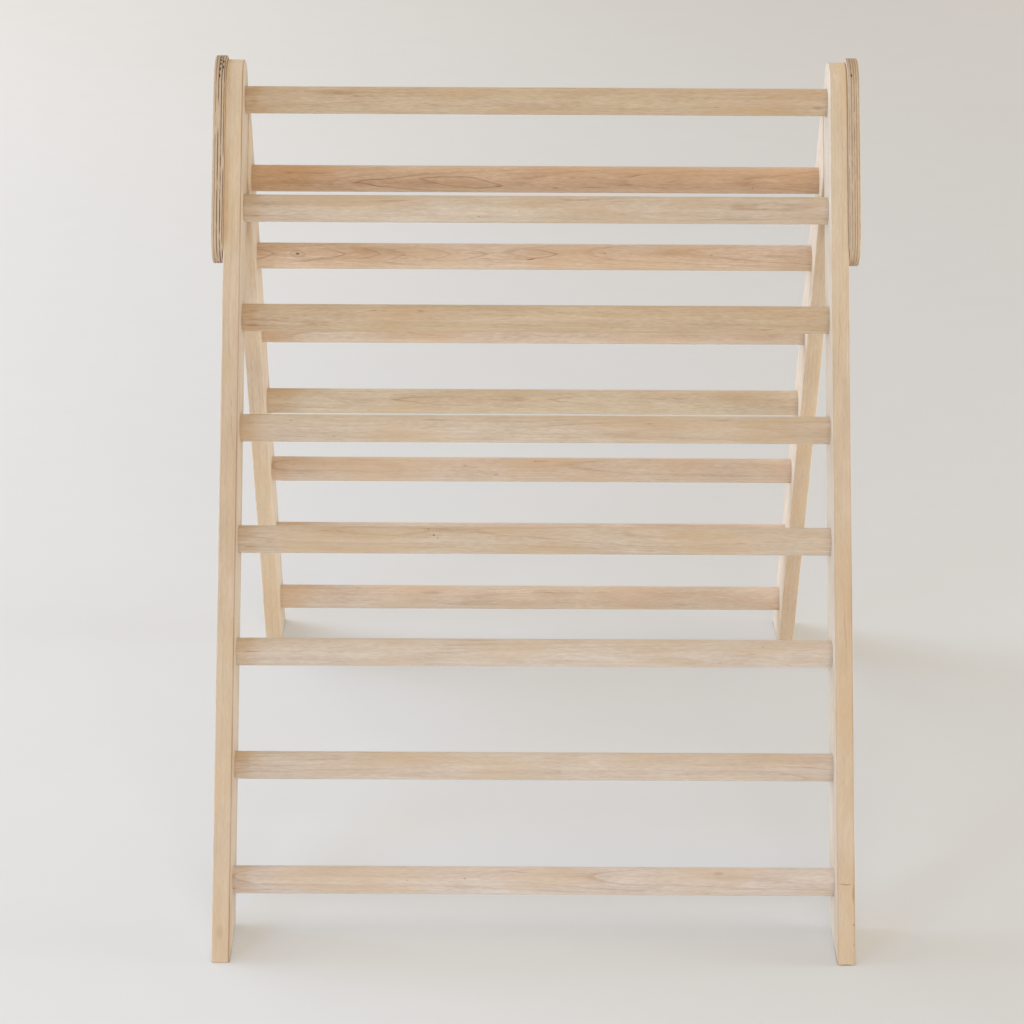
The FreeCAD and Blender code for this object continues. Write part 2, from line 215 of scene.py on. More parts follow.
class Shader:
    """The emptied node tree of a material or world, with one method that makes any node."""

    SEEN_RAYS = ("Is Camera Ray", "Is Glossy Ray", "Is Transmission Ray")

    def __init__(self, owner: bpy.types.Material | bpy.types.World) -> None:
        """Starts an empty tree.

        Args:
            owner: Material or world that the tree belongs to.
        """
        self.owner = owner
        owner.use_nodes = True
        self.tree = owner.node_tree
        self.tree.nodes.clear()

    @classmethod
    def named(cls, name: str) -> "Shader":
        """Starts the tree of a new material."""
        return cls(bpy.data.materials.new(name))

    def node(self, kind: str, sockets: dict[int | str, Any] | None = None, **settings: Any) -> bpy.types.Node:
        """Adds a node, sets it up and fills its sockets.

        Args:
            kind: Blender's type of the node.
            sockets: Values or links for the inputs, by name or number.
            settings: Attributes of the node, set first.

        Returns:
            The node.
        """
        made = self.tree.nodes.new(kind)
        for key, setting in settings.items():
            setattr(made, key, setting)
        for key, given in (sockets or {}).items():
            source = given.socket if isinstance(given, Value) else given
            if isinstance(source, Socket):
                self.tree.links.new(source, made.inputs[key])
            else:
                made.inputs[key].default_value = source
        return made

    def object_place(self) -> Socket:
        """Returns the place on the piece, in Object coordinates."""
        return self.node("ShaderNodeTexCoord").outputs["Object"]

    def placed(self, vector: Socket, location: Vector, turn: Matrix, scale: Vector) -> Socket:
        """Returns a vector in other axes: the columns of a matrix, with an origin and units of their own."""
        sockets = {"Vector": vector, "Location": location, "Rotation": turn.to_euler(), "Scale": scale}
        return self.node("ShaderNodeMapping", sockets, vector_type="TEXTURE").outputs[0]

    def vector(self, operation: str, *operands: Any, output: str = "Vector") -> Socket:
        """Adds a Vector Math node and returns one of its outputs."""
        node = self.node("ShaderNodeVectorMath", dict(enumerate(operands)), operation=operation)
        return node.outputs[output]

    def scaled(self, vector: Any, factor: Value) -> Socket:
        """Returns a vector times a number."""
        return self.node("ShaderNodeVectorMath", {0: vector, "Scale": factor}, operation="SCALE").outputs[0]

    def along(self, vector: Socket, axis: Triple) -> Value:
        """Returns how far a vector reaches along an axis."""
        return Value(self, self.vector("DOT_PRODUCT", vector, axis, output="Value"))

    def length(self, vector: Socket) -> Value:
        """Returns the length of a vector."""
        return Value(self, self.vector("LENGTH", vector, output="Value"))

    def axes(self, vector: Socket) -> tuple[Value, Value, Value]:
        """Returns the three parts of a vector."""
        outputs = self.node("ShaderNodeSeparateXYZ", {0: vector}).outputs
        return tuple(Value(self, output) for output in outputs)

    def seen(self) -> Value:
        """Tells what the camera sees, straight, mirrored or through glass, from the light on the object.

        Returns:
            1 for what is seen and 0 for other light.
        """
        paths = self.node("ShaderNodeLightPath").outputs
        straight, mirrored, through = (Value(self, paths[name]) for name in self.SEEN_RAYS)
        return straight.most(mirrored).most(through)

    def mixed(self, share: Value, first: Any, second: Any) -> Socket:
        """Mixes two colours by a share, which may lie beyond them.

        Args:
            share: 0 gives the first colour and 1 the second.
            first: Colour or socket.
            second: Colour or socket.

        Returns:
            The mixed colour.
        """
        start, end = ((*colour, 1.0) if isinstance(colour, tuple) else colour for colour in (first, second))
        sockets = {0: share, 6: start, 7: end}
        return self.node("ShaderNodeMix", sockets, data_type="RGBA", clamp_factor=False).outputs[2]

    def finish(self, sockets: dict[str, Any], height: Value, depth: float) -> bpy.types.Material:
        """Closes the tree with a Principled shader.

        Args:
            sockets: Inputs of the Principled shader.
            height: Relief from 0 to 1.
            depth: Height of the relief.

        Returns:
            The material.
        """
        bump = self.node("ShaderNodeBump", {"Height": height, "Distance": depth, "Strength": 1.0})
        shader = self.node("ShaderNodeBsdfPrincipled", {**sockets, "Normal": bump.outputs[0]})
        self.node("ShaderNodeOutputMaterial", {"Surface": shader.outputs[0]})
        return self.owner


@dataclass(frozen=True)
class Noise:
    """Smooth noise with its own pitch on each axis.

    Attributes:
        pitch: Bumps per metre along each axis.
        detail: Number of finer octaves.
        share: How much of it shows, or how far it bends a place.
    """

    pitch: Triple
    detail: float
    share: float = 1.0

    def node(self, shader: Shader, place: Socket) -> bpy.types.Node:
        """Adds the noise as it is at a place."""
        stretched = shader.vector("MULTIPLY", place, self.pitch)
        return shader.node("ShaderNodeTexNoise", {"Vector": stretched, "Scale": 1.0, "Detail": self.detail})

    def level(self, shader: Shader, place: Socket) -> Value:
        """Returns the noise as a number around 0.5."""
        return Value(shader, self.node(shader, place).outputs["Fac"])

    def swing(self, shader: Shader, place: Socket) -> Value:
        """Returns the noise as a number around 0."""
        return self.level(shader, place) - 0.5

    def bend(self, shader: Shader, place: Socket, onto: Socket) -> Socket:
        """Returns a place moved by the noise's three channels times its share."""
        channels = self.node(shader, place).outputs["Color"]
        return shader.vector("MULTIPLY_ADD", channels, (self.share,) * 3, onto)


# Finishes


class Form(Enum):
    """How a mark shows in the wood."""

    SPOT = "filled oval"
    RING = "line round a pointed lens"
    ARCH = "the near tip of such a line"
    BACK_ARCH = "the far tip of such a line"


@dataclass(frozen=True)
class Mark:
    """A knot, fleck, growth line or broad brown wash in the wood, or painted shade such as a contact shadow
    under a foot or the dark inside a gap in the plies: an oval or a pointed lens on the surface.

    Attributes:
        place: Its middle.
        axes: Matrix whose columns are its long axis, its cross axis and the surface's normal.
        size: Its half size along those axes.
        strength: How brown it is, 0 to 1.
        form: How it shows.
    """

    place: Vector
    axes: Matrix
    size: Vector
    strength: float
    form: Form

    CORE = 0.25
    BODY = 0.2
    LINE = 0.0011
    FADE = -0.2

    @classmethod
    def laid(cls, place: Vector, grain: Vector, normal: Vector, half_length: float, half_width: float,
             strength: float, tilt: float = 0.0, form: Form = Form.SPOT) -> "Mark":
        """Lays a mark on a surface.

        Args:
            place: Its middle.
            grain: Direction of the grain.
            normal: Outward normal of the surface.
            half_length: Half its length along the grain, in millimetres.
            half_width: Half its width, in millimetres.
            strength: How brown it is.
            tilt: Slope against the grain, in degrees.
            form: How it shows.

        Returns:
            The mark.
        """
        level = Matrix((grain, normal.cross(grain), normal)).transposed()
        axes = level @ Matrix.Rotation(math.radians(tilt), 3, "Z")
        size = Vector((half_length, half_width, half_width)) * MILLIMETRE
        return cls(place, axes, size, strength, form)

    def share(self, shader: Shader, place: Socket) -> Value:
        """How far the mark covers the wood: most in a spot's core or on the line round a lens.

        A lens is where the square of the share along it and the share across it, without its sign, add up to
        less than 1. What they are beyond 1, times the half width, is about the distance from its line.

        Args:
            shader: Shader to add to.
            place: Place on the piece.

        Returns:
            Share of the mark's colour.
        """
        local = shader.placed(place, self.place, self.axes, self.size)
        if self.form is Form.SPOT:
            return (1.0 - shader.length(local).ramp(self.CORE, 1.0)) * self.strength
        along, across, _ = shader.axes(local)
        beyond = (along * along + abs(across) - 1.0) * self.size.y
        line = 1.0 - abs(beyond).ramp(0.0, self.LINE)
        body = 1.0 - beyond.ramp(-self.size.y, 0.0)
        share = (line + body * self.BODY) * self.strength
        if self.form is Form.RING:
            return share
        towards_tip = along * -1.0 if self.form is Form.ARCH else along
        return share * towards_tip.ramp(self.FADE, 1.0)


class Tone(Enum):
    """Shades of the maple, sRGB from 0 to 255, partly the wood's own tone and partly painted light: paler
    tones on the lower front rungs stand in for light bounced up from the floor, and on the rear ladder for
    light that it gets too little of.
    """

    HONEY = (196, 169, 136)
    STRAW = (202, 180, 154)
    CREAM = (204, 184, 162)
    IVORY = (208, 190, 172)
    RUDDY = (208, 176, 144)
    GOLD = (218, 194, 168)
    OAT = (212, 190, 160)
    WHEAT = (219, 193, 160)


@dataclass(frozen=True)
class Stick:
    """How one piece of maple was sawn from its log, and its shade.

    Attributes:
        tone: Its mean colour, partly painted light.
        figure: Strength of its grain, about 1.
        pith: Place of the log's pith from the piece's middle, across the grain.
        lean: Lean of the pith in its two cross directions, in degrees.
        burns: Dark lines along its eased edges, each its X and strength.
    """

    tone: Tone
    figure: float
    pith: tuple[float, float]
    lean: tuple[float, float]
    burns: tuple[tuple[float, float], ...] = ()

    def tinted(self, tint: Colour) -> Colour:
        """Returns the linear shade times a tint."""
        return tuple(shade * share for shade, share in zip(linear(*self.tone.value), tint))


@dataclass(frozen=True)
class Timber:
    """The finish of one piece of maple.

    The growth rings are cylinders about the pith, which runs beside the piece. A pith that leans a little
    against the piece cuts the rings into long pointed arches on its surface.

    Attributes:
        name: Name of the material.
        stick: How the piece was sawn.
        middle: Middle of the piece.
        turn: Matrix with the grain as its first column.
        marks: Knots, flecks and growth lines of its own.
        faces: X of a board's two broad faces, which get painted light, a paler and cooler tint than its
            edges, or None for a dowel.
    """

    name: str
    stick: Stick
    middle: Vector
    turn: Matrix
    marks: tuple[Mark, ...]
    faces: tuple[float, float] | None = None

    PLAIN = (1.0, 1.0, 1.0)
    LATE = (0.74, 0.60, 0.46)
    WARM = (1.0, 0.91, 0.74)
    # Painted light: the paler, cooler tint of a board's broad faces.
    PALE = (1.04, 1.09, 1.18)
    PALE_EDGE = 0.0005
    # Brown of the knots, marks and dark edge lines, also used for the painted contact shadows under the feet.
    KNOT = linear(148, 92, 52)
    BURN_WIDTH = 0.0012
    BURN_LEAST = 0.5
    RING_PITCH = 0.0042
    RING_SPREAD = Noise((0.4, 26.0, 26.0), 1.0, 2.2)
    LATE_LINE = (0.72, 0.94, 1.0)
    EARLY_SHARE = 0.25
    LATE_SHARE = 0.4
    LATE_LEVEL = 0.08
    LATE_SHOWN = (-0.2, 0.15)
    BENDS = (Noise((3.1, 11.0, 11.0), 1.0, 0.016), Noise((17.0, 55.0, 55.0), 1.0, 0.003))
    WAVE = Noise((45.0, 45.0, 45.0), 1.0, 0.004)
    STREAK = Noise((13.0, 400.0, 400.0), 2.0, 0.8)
    FIBRE = Noise((110.0, 950.0, 950.0), 2.0, 1.4)
    MOTTLE = Noise((24.0, 75.0, 75.0), 2.0, 0.6)
    PATCH = Noise((4.0, 24.0, 24.0), 1.0, 0.35)
    WARMTH = Noise((9.0, 30.0, 30.0), 1.0, 0.6)
    WARMTH_REACH = (0.4, 0.75)
    WARMTH_LEVEL = 0.18
    ROUGHNESS = 0.5
    FIBRE_ROUGHNESS = 0.3
    SHEEN = {"Specular IOR Level": 0.35, "Diffuse Roughness": 1.0}
    RELIEF = 0.00012

    def log_places(self, shader: Shader, place: Socket) -> tuple[Socket, Socket]:
        """Gives the place in the log, X along the pith and Y and Z across it, straight and bent by noise.

        Args:
            shader: Shader to add to.
            place: Place on the piece.

        Returns:
            The straight place and the bent place.
        """
        over, aside = (math.radians(angle) for angle in self.stick.lean)
        lean = Matrix.Rotation(over, 3, "Y") @ Matrix.Rotation(aside, 3, "Z")
        origin = self.middle + self.turn @ Vector((0.0, *self.stick.pith))
        straight = shader.placed(place, origin, self.turn @ lean, Vector(self.PLAIN))
        bent = straight
        for noise in self.BENDS:
            bent = noise.bend(shader, straight, bent)
        return straight, bent

    def late_wood(self, shader: Shader, place: Socket) -> Value:
        """Growth rings: each darkens a little outwards and ends in a thin late line.

        Args:
            shader: Shader to add to.
            place: Place in the log.

        Returns:
            Darkness from 0 to 1.
        """
        _, across, up = shader.axes(place)
        radius = (across * across + up * up) ** 0.5
        spread = self.RING_SPREAD.level(shader, place) * self.RING_SPREAD.share
        phase = (radius / self.RING_PITCH + spread).fraction()
        start, peak, end = self.LATE_LINE
        return self.EARLY_SHARE * phase + phase.ramp(start, peak) * (1.0 - phase.ramp(peak, end))

    def paled(self, shader: Shader, along: Value, colour: Socket) -> Socket:
        """Paints light on a board's broad faces: makes them paler and cooler than its edges.

        Args:
            shader: Shader to add to.
            along: X of the place.
            colour: Colour of the edges.

        Returns:
            The colour of edges and faces.
        """
        low, high = self.faces
        inside = (high - low) / 2 - abs(along - (low + high) / 2)
        pale = shader.vector("MULTIPLY", colour, self.PALE)
        return shader.mixed(1.0 - inside.ramp(0.0, self.PALE_EDGE), colour, pale)

    def marked(self, shader: Shader, place: Socket, colour: Socket) -> Socket:
        """Lays the marks, painted contact shadows among them, over the wood, shifted by slow noise so that
        they run as unevenly as the grain.

        Args:
            shader: Shader to add to.
            place: Place on the piece.
            colour: Colour of the wood.

        Returns:
            The colour of the wood with its marks.
        """
        uneven = shader.vector("SUBTRACT", self.WAVE.bend(shader, place, place), (self.WAVE.share / 2,) * 3)
        for mark in self.marks:
            colour = shader.mixed(mark.share(shader, uneven), colour, self.KNOT)
        return colour

    def material(self) -> bpy.types.Material:
        """Maple: late lines, streaks, short fibres, mottle and soft warm patches, matt with a faint relief.

        Returns:
            The material.
        """
        shader = Shader.named(self.name)
        place = shader.object_place()
        along = shader.along(place, X_AXIS)
        straight, bent = self.log_places(shader, place)
        streak = self.STREAK.swing(shader, straight)
        fibre = self.FIBRE.swing(shader, straight)
        mottle = self.MOTTLE.swing(shader, bent)
        patch = self.PATCH.swing(shader, bent)
        late = self.late_wood(shader, bent) * patch.ramp(*self.LATE_SHOWN)
        fine = self.STREAK.share * streak + self.FIBRE.share * fibre
        grain = self.LATE_SHARE * late - self.LATE_LEVEL + fine
        dark = self.stick.figure * grain + self.MOTTLE.share * mottle + self.PATCH.share * patch
        colour = shader.mixed(dark, self.stick.tinted(self.PLAIN), self.stick.tinted(self.LATE))
        warmth = self.WARMTH.level(shader, bent).ramp(*self.WARMTH_REACH)
        warm = self.WARMTH.share * warmth - self.WARMTH_LEVEL
        colour = shader.mixed(warm, colour, self.stick.tinted(self.WARM))
        # Painted light: a board's broad faces are made paler and cooler than its edges.
        if self.faces:
            colour = self.paled(shader, along, colour)
        colour = self.marked(shader, place, colour)
        # Dark lines along the eased edges, stronger where the wood is warmer.
        for edge, strength in self.stick.burns:
            line = 1.0 - abs(along - edge).ramp(0.0, self.BURN_WIDTH)
            edge_darkening = line * (self.BURN_LEAST + (1.0 - self.BURN_LEAST) * warmth) * strength
            colour = shader.mixed(edge_darkening, colour, self.KNOT)
        roughness = self.ROUGHNESS + self.FIBRE_ROUGHNESS * fibre
        sockets = {"Base Color": colour, "Roughness": roughness, **self.SHEEN}
        return shader.finish(sockets, 0.5 + fibre + streak, self.RELIEF)


@dataclass(frozen=True)
class Plywood:
    """Birch plywood: pale veneer on its faces, plies and dark glue lines on its edges.

    Attributes:
        name: Name of the material.
        near: X of the face against the legs.
        far: X of the outer face.
        lines: Glue lines, each its share of the thickness from the outer face, half width and strength.
        voids: Small gaps in the plies, open on the edge, drawn as painted shade: dark spots on the flat edge.
    """

    name: str
    near: float
    far: float
    lines: tuple[Triple, ...]
    voids: tuple[Mark, ...]

    VENEER = linear(204, 178, 147)
    CROSS = linear(160, 134, 108)
    GLUE = linear(92, 66, 46)
    # Painted shade: the dark inside a gap in the plies.
    VOID = linear(44, 33, 26)
    WAVE = Noise((6.0, 40.0, 9.0), 2.0, 0.5)
    FIBRE = Noise((900.0, 420.0, 14.0), 2.0, 0.7)
    FIGURE_LEVEL = 0.43
    BREAKS = Noise((300.0, 45.0, 45.0), 2.0)
    BREAKS_REACH = (0.28, 0.5)
    LINE_SHARES = (0.5, 1.5)
    PORES = Noise((1500.0, 700.0, 700.0), 1.0, 0.4)
    PORES_REACH = (0.5, 0.75)
    CROSS_SHARE = 0.25
    PLY_PAIRS = 4.5
    PLY_START = 0.1
    INSIDE = 0.49
    ROUGHNESS = 0.6
    FIBRE_ROUGHNESS = 0.1
    SPECULAR = 0.3
    RELIEF = 0.0001

    def material(self) -> bpy.types.Material:
        """Plies by the share of the thickness, fine fibres along each, and a wavy face veneer.

        Returns:
            The material.
        """
        shader = Shader.named(self.name)
        place = shader.object_place()
        share = (shader.along(place, X_AXIS) - self.far) / (self.near - self.far)
        wave = self.WAVE.level(shader, place)
        fibre = self.FIBRE.level(shader, place)
        figure = self.WAVE.share * wave + self.FIBRE.share * fibre - self.FIGURE_LEVEL
        colour = shader.mixed(figure, self.VENEER, self.CROSS)
        unbroken = self.BREAKS.level(shader, place).ramp(*self.BREAKS_REACH)
        for middle, half_width, strength in self.lines:
            inner, outer = (half_width * edge for edge in self.LINE_SHARES)
            line = 1.0 - abs(share - middle).ramp(inner, outer)
            colour = shader.mixed(line * unbroken * strength, colour, self.GLUE)
        pores = self.PORES.level(shader, place).ramp(*self.PORES_REACH)
        cross_ply = (share * self.PLY_PAIRS + self.PLY_START).fraction().above(0.5)
        inside = 1.0 - abs(share - 0.5).above(self.INSIDE)
        end_grain = cross_ply * inside * (self.CROSS_SHARE + self.PORES.share * pores)
        colour = shader.mixed(end_grain, colour, self.CROSS)
        # Painted shade: each gap's dark inside is painted on the flat edge.
        for void in self.voids:
            colour = shader.mixed(void.share(shader, place), colour, self.VOID)
        roughness = self.ROUGHNESS + self.FIBRE_ROUGHNESS * fibre
        sockets = {"Base Color": colour, "Roughness": roughness, "Specular IOR Level": self.SPECULAR}
        return shader.finish(sockets, fibre, self.RELIEF)


@dataclass(frozen=True)
class Hardware:
    """The finish of bolts, screws, inserts and washers: turned metal or moulded plastic with fine scratches.

    Attributes:
        name: Name of the material.
        light: Colour of the smooth surface.
        dark: Colour in the scratches.
        metallic: 1 for metal, 0 for plastic.
        roughness: Roughness of the smooth surface.
    """

    name: str
    light: Colour
    dark: Colour
    metallic: float
    roughness: float

    SCRATCH = Noise((4000.0, 2600.0, 300.0), 2.0, 0.6)
    CLOUD = Noise((120.0, 120.0, 120.0), 1.0, 0.4)
    SCRATCH_ROUGHNESS = 0.2
    CLOUD_ROUGHNESS = 0.15
    RELIEF = 0.00002

    def material(self) -> bpy.types.Material:
        """Fine scratches over a soft cloudiness.

        Returns:
            The material.
        """
        shader = Shader.named(self.name)
        place = shader.object_place()
        scratch = self.SCRATCH.level(shader, place)
        cloud = self.CLOUD.level(shader, place)
        colour = shader.mixed(self.SCRATCH.share * scratch + self.CLOUD.share * cloud, self.light, self.dark)
        uneven = self.SCRATCH_ROUGHNESS * (scratch - 0.5) + self.CLOUD_ROUGHNESS * (cloud - 0.5)
        sockets = {"Base Color": colour, "Roughness": self.roughness + uneven, "Metallic": self.metallic}
        return shader.finish(sockets, scratch, self.RELIEF)


STEEL = Hardware("brushed_steel", linear(142, 143, 146), linear(106, 107, 111), 1.0, 0.45)
BRASS = Hardware("plain_brass", linear(214, 180, 108), linear(160, 126, 66), 1.0, 0.35)
NYLON = Hardware("pale_nylon", linear(226, 224, 216), linear(202, 199, 190), 0.0, 0.5)


# Surfaces


def round_angles(count: int) -> Array:
    """Returns angles evenly round a circle."""
    return np.linspace(0.0, 2.0 * np.pi, count, endpoint=False)


def directions(angles: Array) -> Array:
    """Returns the unit vectors in Y and Z at angles from Y towards Z."""
    return np.stack([np.cos(angles), np.sin(angles)], axis=-1)


def hexagon(count: int) -> Array:
    """Radii of a hexagon with flats 2 apart: 1 over the cosine of the angle from the nearest flat."""
    return 1.0 / np.cos(round_angles(count) % (np.pi / 3) - np.pi / 6)


def turned(centre: Array, rings: list[Ring], count: int) -> Array:
    """Turns a half profile about an axis along X: each ring is its radii times the directions, at its own X.

    Args:
        centre: Y and Z of the axis.
        rings: Radius of each ring, the same all round or one for each direction, and its X.
        count: Number of directions.

    Returns:
        Points, one row for each ring.
    """
    radii = np.array([np.broadcast_to(radius, count) for radius, _ in rings])
    along = np.array([place for _, place in rings])
    flat = centre + radii[..., None] * directions(round_angles(count))
    return np.concatenate([np.broadcast_to(along[:, None, None], flat[..., :1].shape), flat], axis=-1)


def rounded(corners: Array, radii: Array, steps: int) -> tuple[Array, Array]:
    """Rounds the corners of a convex outline: each becomes an arc from one side's normal to the next's.

    Args:
        corners: Corners in Y and Z, anticlockwise.
        radii: Radius at each corner.
        steps: Points on each arc.

    Returns:
        The outline's points and their outward normals.
    """
    edges = np.roll(corners, -1, axis=0) - corners
    headings = np.arctan2(edges[:, 1], edges[:, 0]) - np.pi / 2
    before = np.roll(headings, 1)
    turns = (headings - before) % (2.0 * np.pi)
    reach = radii / np.cos(turns / 2)
    centres = corners - reach[:, None] * directions(before + turns / 2)
    normals = directions(before[:, None] + turns[:, None] * np.linspace(0.0, 1.0, steps))
    points = centres[:, None] + radii[:, None, None] * normals
    return points.reshape(-1, 2), normals.reshape(-1, 2)


class Shell:
    """Gathers patches of one closed surface, given as arrays, and makes its mesh."""

    SHARP_ANGLE = math.radians(32.0)
    MERGE = 1e-7

    def __init__(self) -> None:
        """Starts with no points and no faces."""
        self.points: list[Array] = []
        self.faces: list[Array] = []
        self.count = 0

    def add(self, points: Array) -> Array:
        """Adds points.

        Args:
            points: Places, in an array whose last axis is X, Y, Z.

        Returns:
            Their numbers, in an array of the leading axes.
        """
        flat = points.reshape(-1, 3)
        numbers = self.count + np.arange(len(flat)).reshape(points.shape[:-1])
        self.points.append(flat)
        self.count += len(flat)
        return numbers

    def rings(self, numbers: Array) -> None:
        """Joins each ring of points to the next by quads.

        Args:
            numbers: Point numbers, one row for each closed ring.
        """
        after = np.roll(numbers, -1, axis=1)
        quads = np.stack([numbers[:-1], after[:-1], after[1:], numbers[1:]], axis=-1)
        self.faces.append(quads.reshape(-1, 4))

    def cap(self, ring: Array, middle: Array) -> None:
        """Closes a ring of point numbers on the place of its middle point by triangles."""
        pole = np.full(len(ring), self.add(middle.reshape(1, 3))[0])
        self.faces.append(np.stack([ring, np.roll(ring, -1), pole], axis=-1))

    def turn(self, centre: Array, rings: list[Ring], count: int, tip: float | None = None) -> None:
        """Adds a turned solid, closed at both ends.

        Args:
            centre: Y and Z of the axis.
            rings: Radius of each ring and its X.
            count: Number of points on a ring.
            tip: X of a point beyond the last ring, or None for a flat end.
        """
        numbers = self.add(turned(centre, rings, count))
        self.rings(numbers)
        self.cap(numbers[0], np.array([rings[0][1], *centre]))
        self.cap(numbers[-1], np.array([rings[-1][1] if tip is None else tip, *centre]))

    def fill(self, loops: list[Array]) -> None:
        """Fills a flat face between an outer loop and the loops of its holes.

        Args:
            loops: Point numbers of each loop, the outer one first.
        """
        places = np.concatenate(self.points)
        polygons = [[Vector((y, z, 0.0)) for y, z in places[loop][:, 1:]] for loop in loops]
        triangles = np.array(tessellate_polygon(polygons))
        self.faces.append(np.concatenate(loops)[triangles])

    def piece(self, name: str) -> bpy.types.Object:
        """Makes the mesh: merged, facing outwards, smooth but for sharp edges.

        Args:
            name: Name of the piece.

        Returns:
            The piece, at the origin.
        """
        mesh = bpy.data.meshes.new(name)
        corners = np.concatenate([faces.ravel() for faces in self.faces])
        sizes = np.concatenate([np.full(len(faces), faces.shape[1]) for faces in self.faces])
        mesh.vertices.add(self.count)
        mesh.vertices.foreach_set("co", np.concatenate(self.points).ravel())
        mesh.loops.add(len(corners))
        mesh.loops.foreach_set("vertex_index", corners)
        mesh.polygons.add(len(sizes))
        mesh.polygons.foreach_set("loop_start", np.concatenate([[0], np.cumsum(sizes)[:-1]]))
        mesh.update(calc_edges=True)
        work = bmesh.new()
        work.from_mesh(mesh)
        bmesh.ops.remove_doubles(work, verts=work.verts, dist=self.MERGE)
        bmesh.ops.dissolve_degenerate(work, edges=work.edges, dist=self.MERGE)
        bmesh.ops.recalc_face_normals(work, faces=work.faces)
        work.to_mesh(mesh)
        work.free()
        mesh.shade_smooth()
        mesh.set_sharp_from_angle(angle=self.SHARP_ANGLE)
        made = bpy.data.objects.new(name, mesh)
        bpy.context.scene.collection.objects.link(made)
        return made


@dataclass
class Bore:
    """A turned hole through a board.

    Attributes:
        centre: Y and Z of its axis.
        rings: Rows of radius and X, from the board's near face to its far face.
    """

    centre: Array
    rings: list[Ring]
    COUNT = 48

    def cut(self, shell: Shell) -> tuple[Array, Array]:
        """Adds the hole's wall.

        Args:
            shell: Surface to add to.

        Returns:
            Point numbers of its rims on the near and the far face.
        """
        numbers = shell.add(turned(self.centre, self.rings, self.COUNT))
        shell.rings(numbers)
        return numbers[0], numbers[-1]


@dataclass
class Board:
    """A board on edge: a rounded outline in Y and Z, carried through its thickness by an edge profile.

    Attributes:
        corners: Convex outline.
        radii: Radius at each corner.
        near: X of one face.
        far: X of the other face.
        ease: Radius of the eased edges.
        bores: Holes through it.
        relief: Rows of share of the flat edge and depth there, for plies that stand back.
    """

    corners: Array
    radii: Array
    near: float
    far: float
    ease: float
    bores: list[Bore]
    relief: Array | tuple[()] = ()
    HOLD = 0.0006
    ARC_STEPS = 21
    EASE_STEPS = 9

    def profile(self) -> Array:
        """The edge profile: flat by HOLD, a quarter round, the edge with its relief, then the same back.

        Returns:
            Rows of inset from the outline and X.
        """
        sign = math.copysign(1.0, self.far - self.near)
        angles = np.linspace(0.0, np.pi / 2, self.EASE_STEPS)
        inset = self.ease * (1.0 - np.sin(angles))
        depth = self.ease * (1.0 - np.cos(angles))
        quarter = np.stack([inset, self.near + sign * depth], axis=-1)
        start = np.concatenate([[[self.ease + self.HOLD, self.near]], quarter])
        end = (start * [1.0, -1.0] + [0.0, self.near + self.far])[::-1]
        span = self.far - self.near - 2.0 * sign * self.ease
        share, groove = np.reshape(self.relief, (-1, 2)).T
        edge = np.stack([groove, self.near + sign * self.ease + span * share], axis=-1)
        return np.concatenate([start, edge, end])

    def shell(self) -> Shell:
        """Carries the profile round the outline and fills both faces about their bores.

        Returns:
            The closed surface.
        """
        following = np.roll(self.corners, -1, axis=0)
        area = np.sum(self.corners[:, 0] * following[:, 1] - self.corners[:, 1] * following[:, 0])
        order = slice(None) if area > 0 else slice(None, None, -1)
        points, normals = rounded(self.corners[order], self.radii[order], self.ARC_STEPS)
        profile = self.profile()
        flat = points[None] - profile[:, None, :1] * normals[None]
        along = np.broadcast_to(profile[:, None, 1:], flat[..., :1].shape)
        shell = Shell()
        numbers = shell.add(np.concatenate([along, flat], axis=-1))
        shell.rings(numbers)
        near_rims, far_rims = zip(*(bore.cut(shell) for bore in self.bores))
        shell.fill([numbers[0], *near_rims])
        shell.fill([numbers[-1], *far_rims])
        return shell


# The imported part


class CadModel:
    """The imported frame, read only: places and sizes of its nodes."""

    def __init__(self) -> None:
        """Loads the frame and keeps the box of the whole part and each node's body."""
        self.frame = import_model()
        self.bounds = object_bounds()
        bodies = self.frame["record"]["behaviour"]["bodies"]
        self.bodies = {node: body for body, nodes in bodies.items() for node in nodes}

    def points(self, node: str) -> Array:
        """Reads the vertices of a node.

        Args:
            node: Name of the node.

        Returns:
            Their places, one row each.
        """
        mesh = self.frame["nodes"][node].data
        flat = np.empty(len(mesh.vertices) * 3)
        mesh.vertices.foreach_get("co", flat)
        return flat.reshape(-1, 3)

    def box(self, node: str) -> tuple[Array, Array]:
        """Returns the lowest and highest corner of a node."""
        low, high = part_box(node)
        return np.array(low), np.array(high)

    def centre(self, node: str) -> Array:
        """Returns the middle of a node's box."""
        low, high = self.box(node)
        return (low + high) / 2

    def ends(self, node: str, side: Side) -> tuple[float, float]:
        """Returns X of a node's inner and outer end on a side."""
        low, high = self.box(node)
        return (low[0], high[0]) if side is Side.RIGHT else (high[0], low[0])

    def adopt(self, piece: bpy.types.Object, node: str, slot: str, material: bpy.types.Material) -> None:
        """Puts a new piece in the place of a node, on the node's body.

        Args:
            piece: The new piece.
            node: Node that it stands for.
            slot: Material slot of the record; not used.
            material: Its finish.
        """
        piece.data.materials.append(material)
        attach(piece, self.bodies[node])
        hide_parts(node)
        log.info("%s: %d faces on %s", piece.name, len(piece.data.polygons), self.bodies[node])

    def keep(self, node: str, material: bpy.types.Material) -> None:
        """Keeps a node's own solid and gives it a finish."""
        self.frame["nodes"][node].material_slots[0].material = material
        log.info("%s: CAD solid in %s", node, material.name)


class LadderName(Enum):
    """The two ladders, as the CAD nodes spell them."""

    FRONT = "front"
    REAR = "rear"
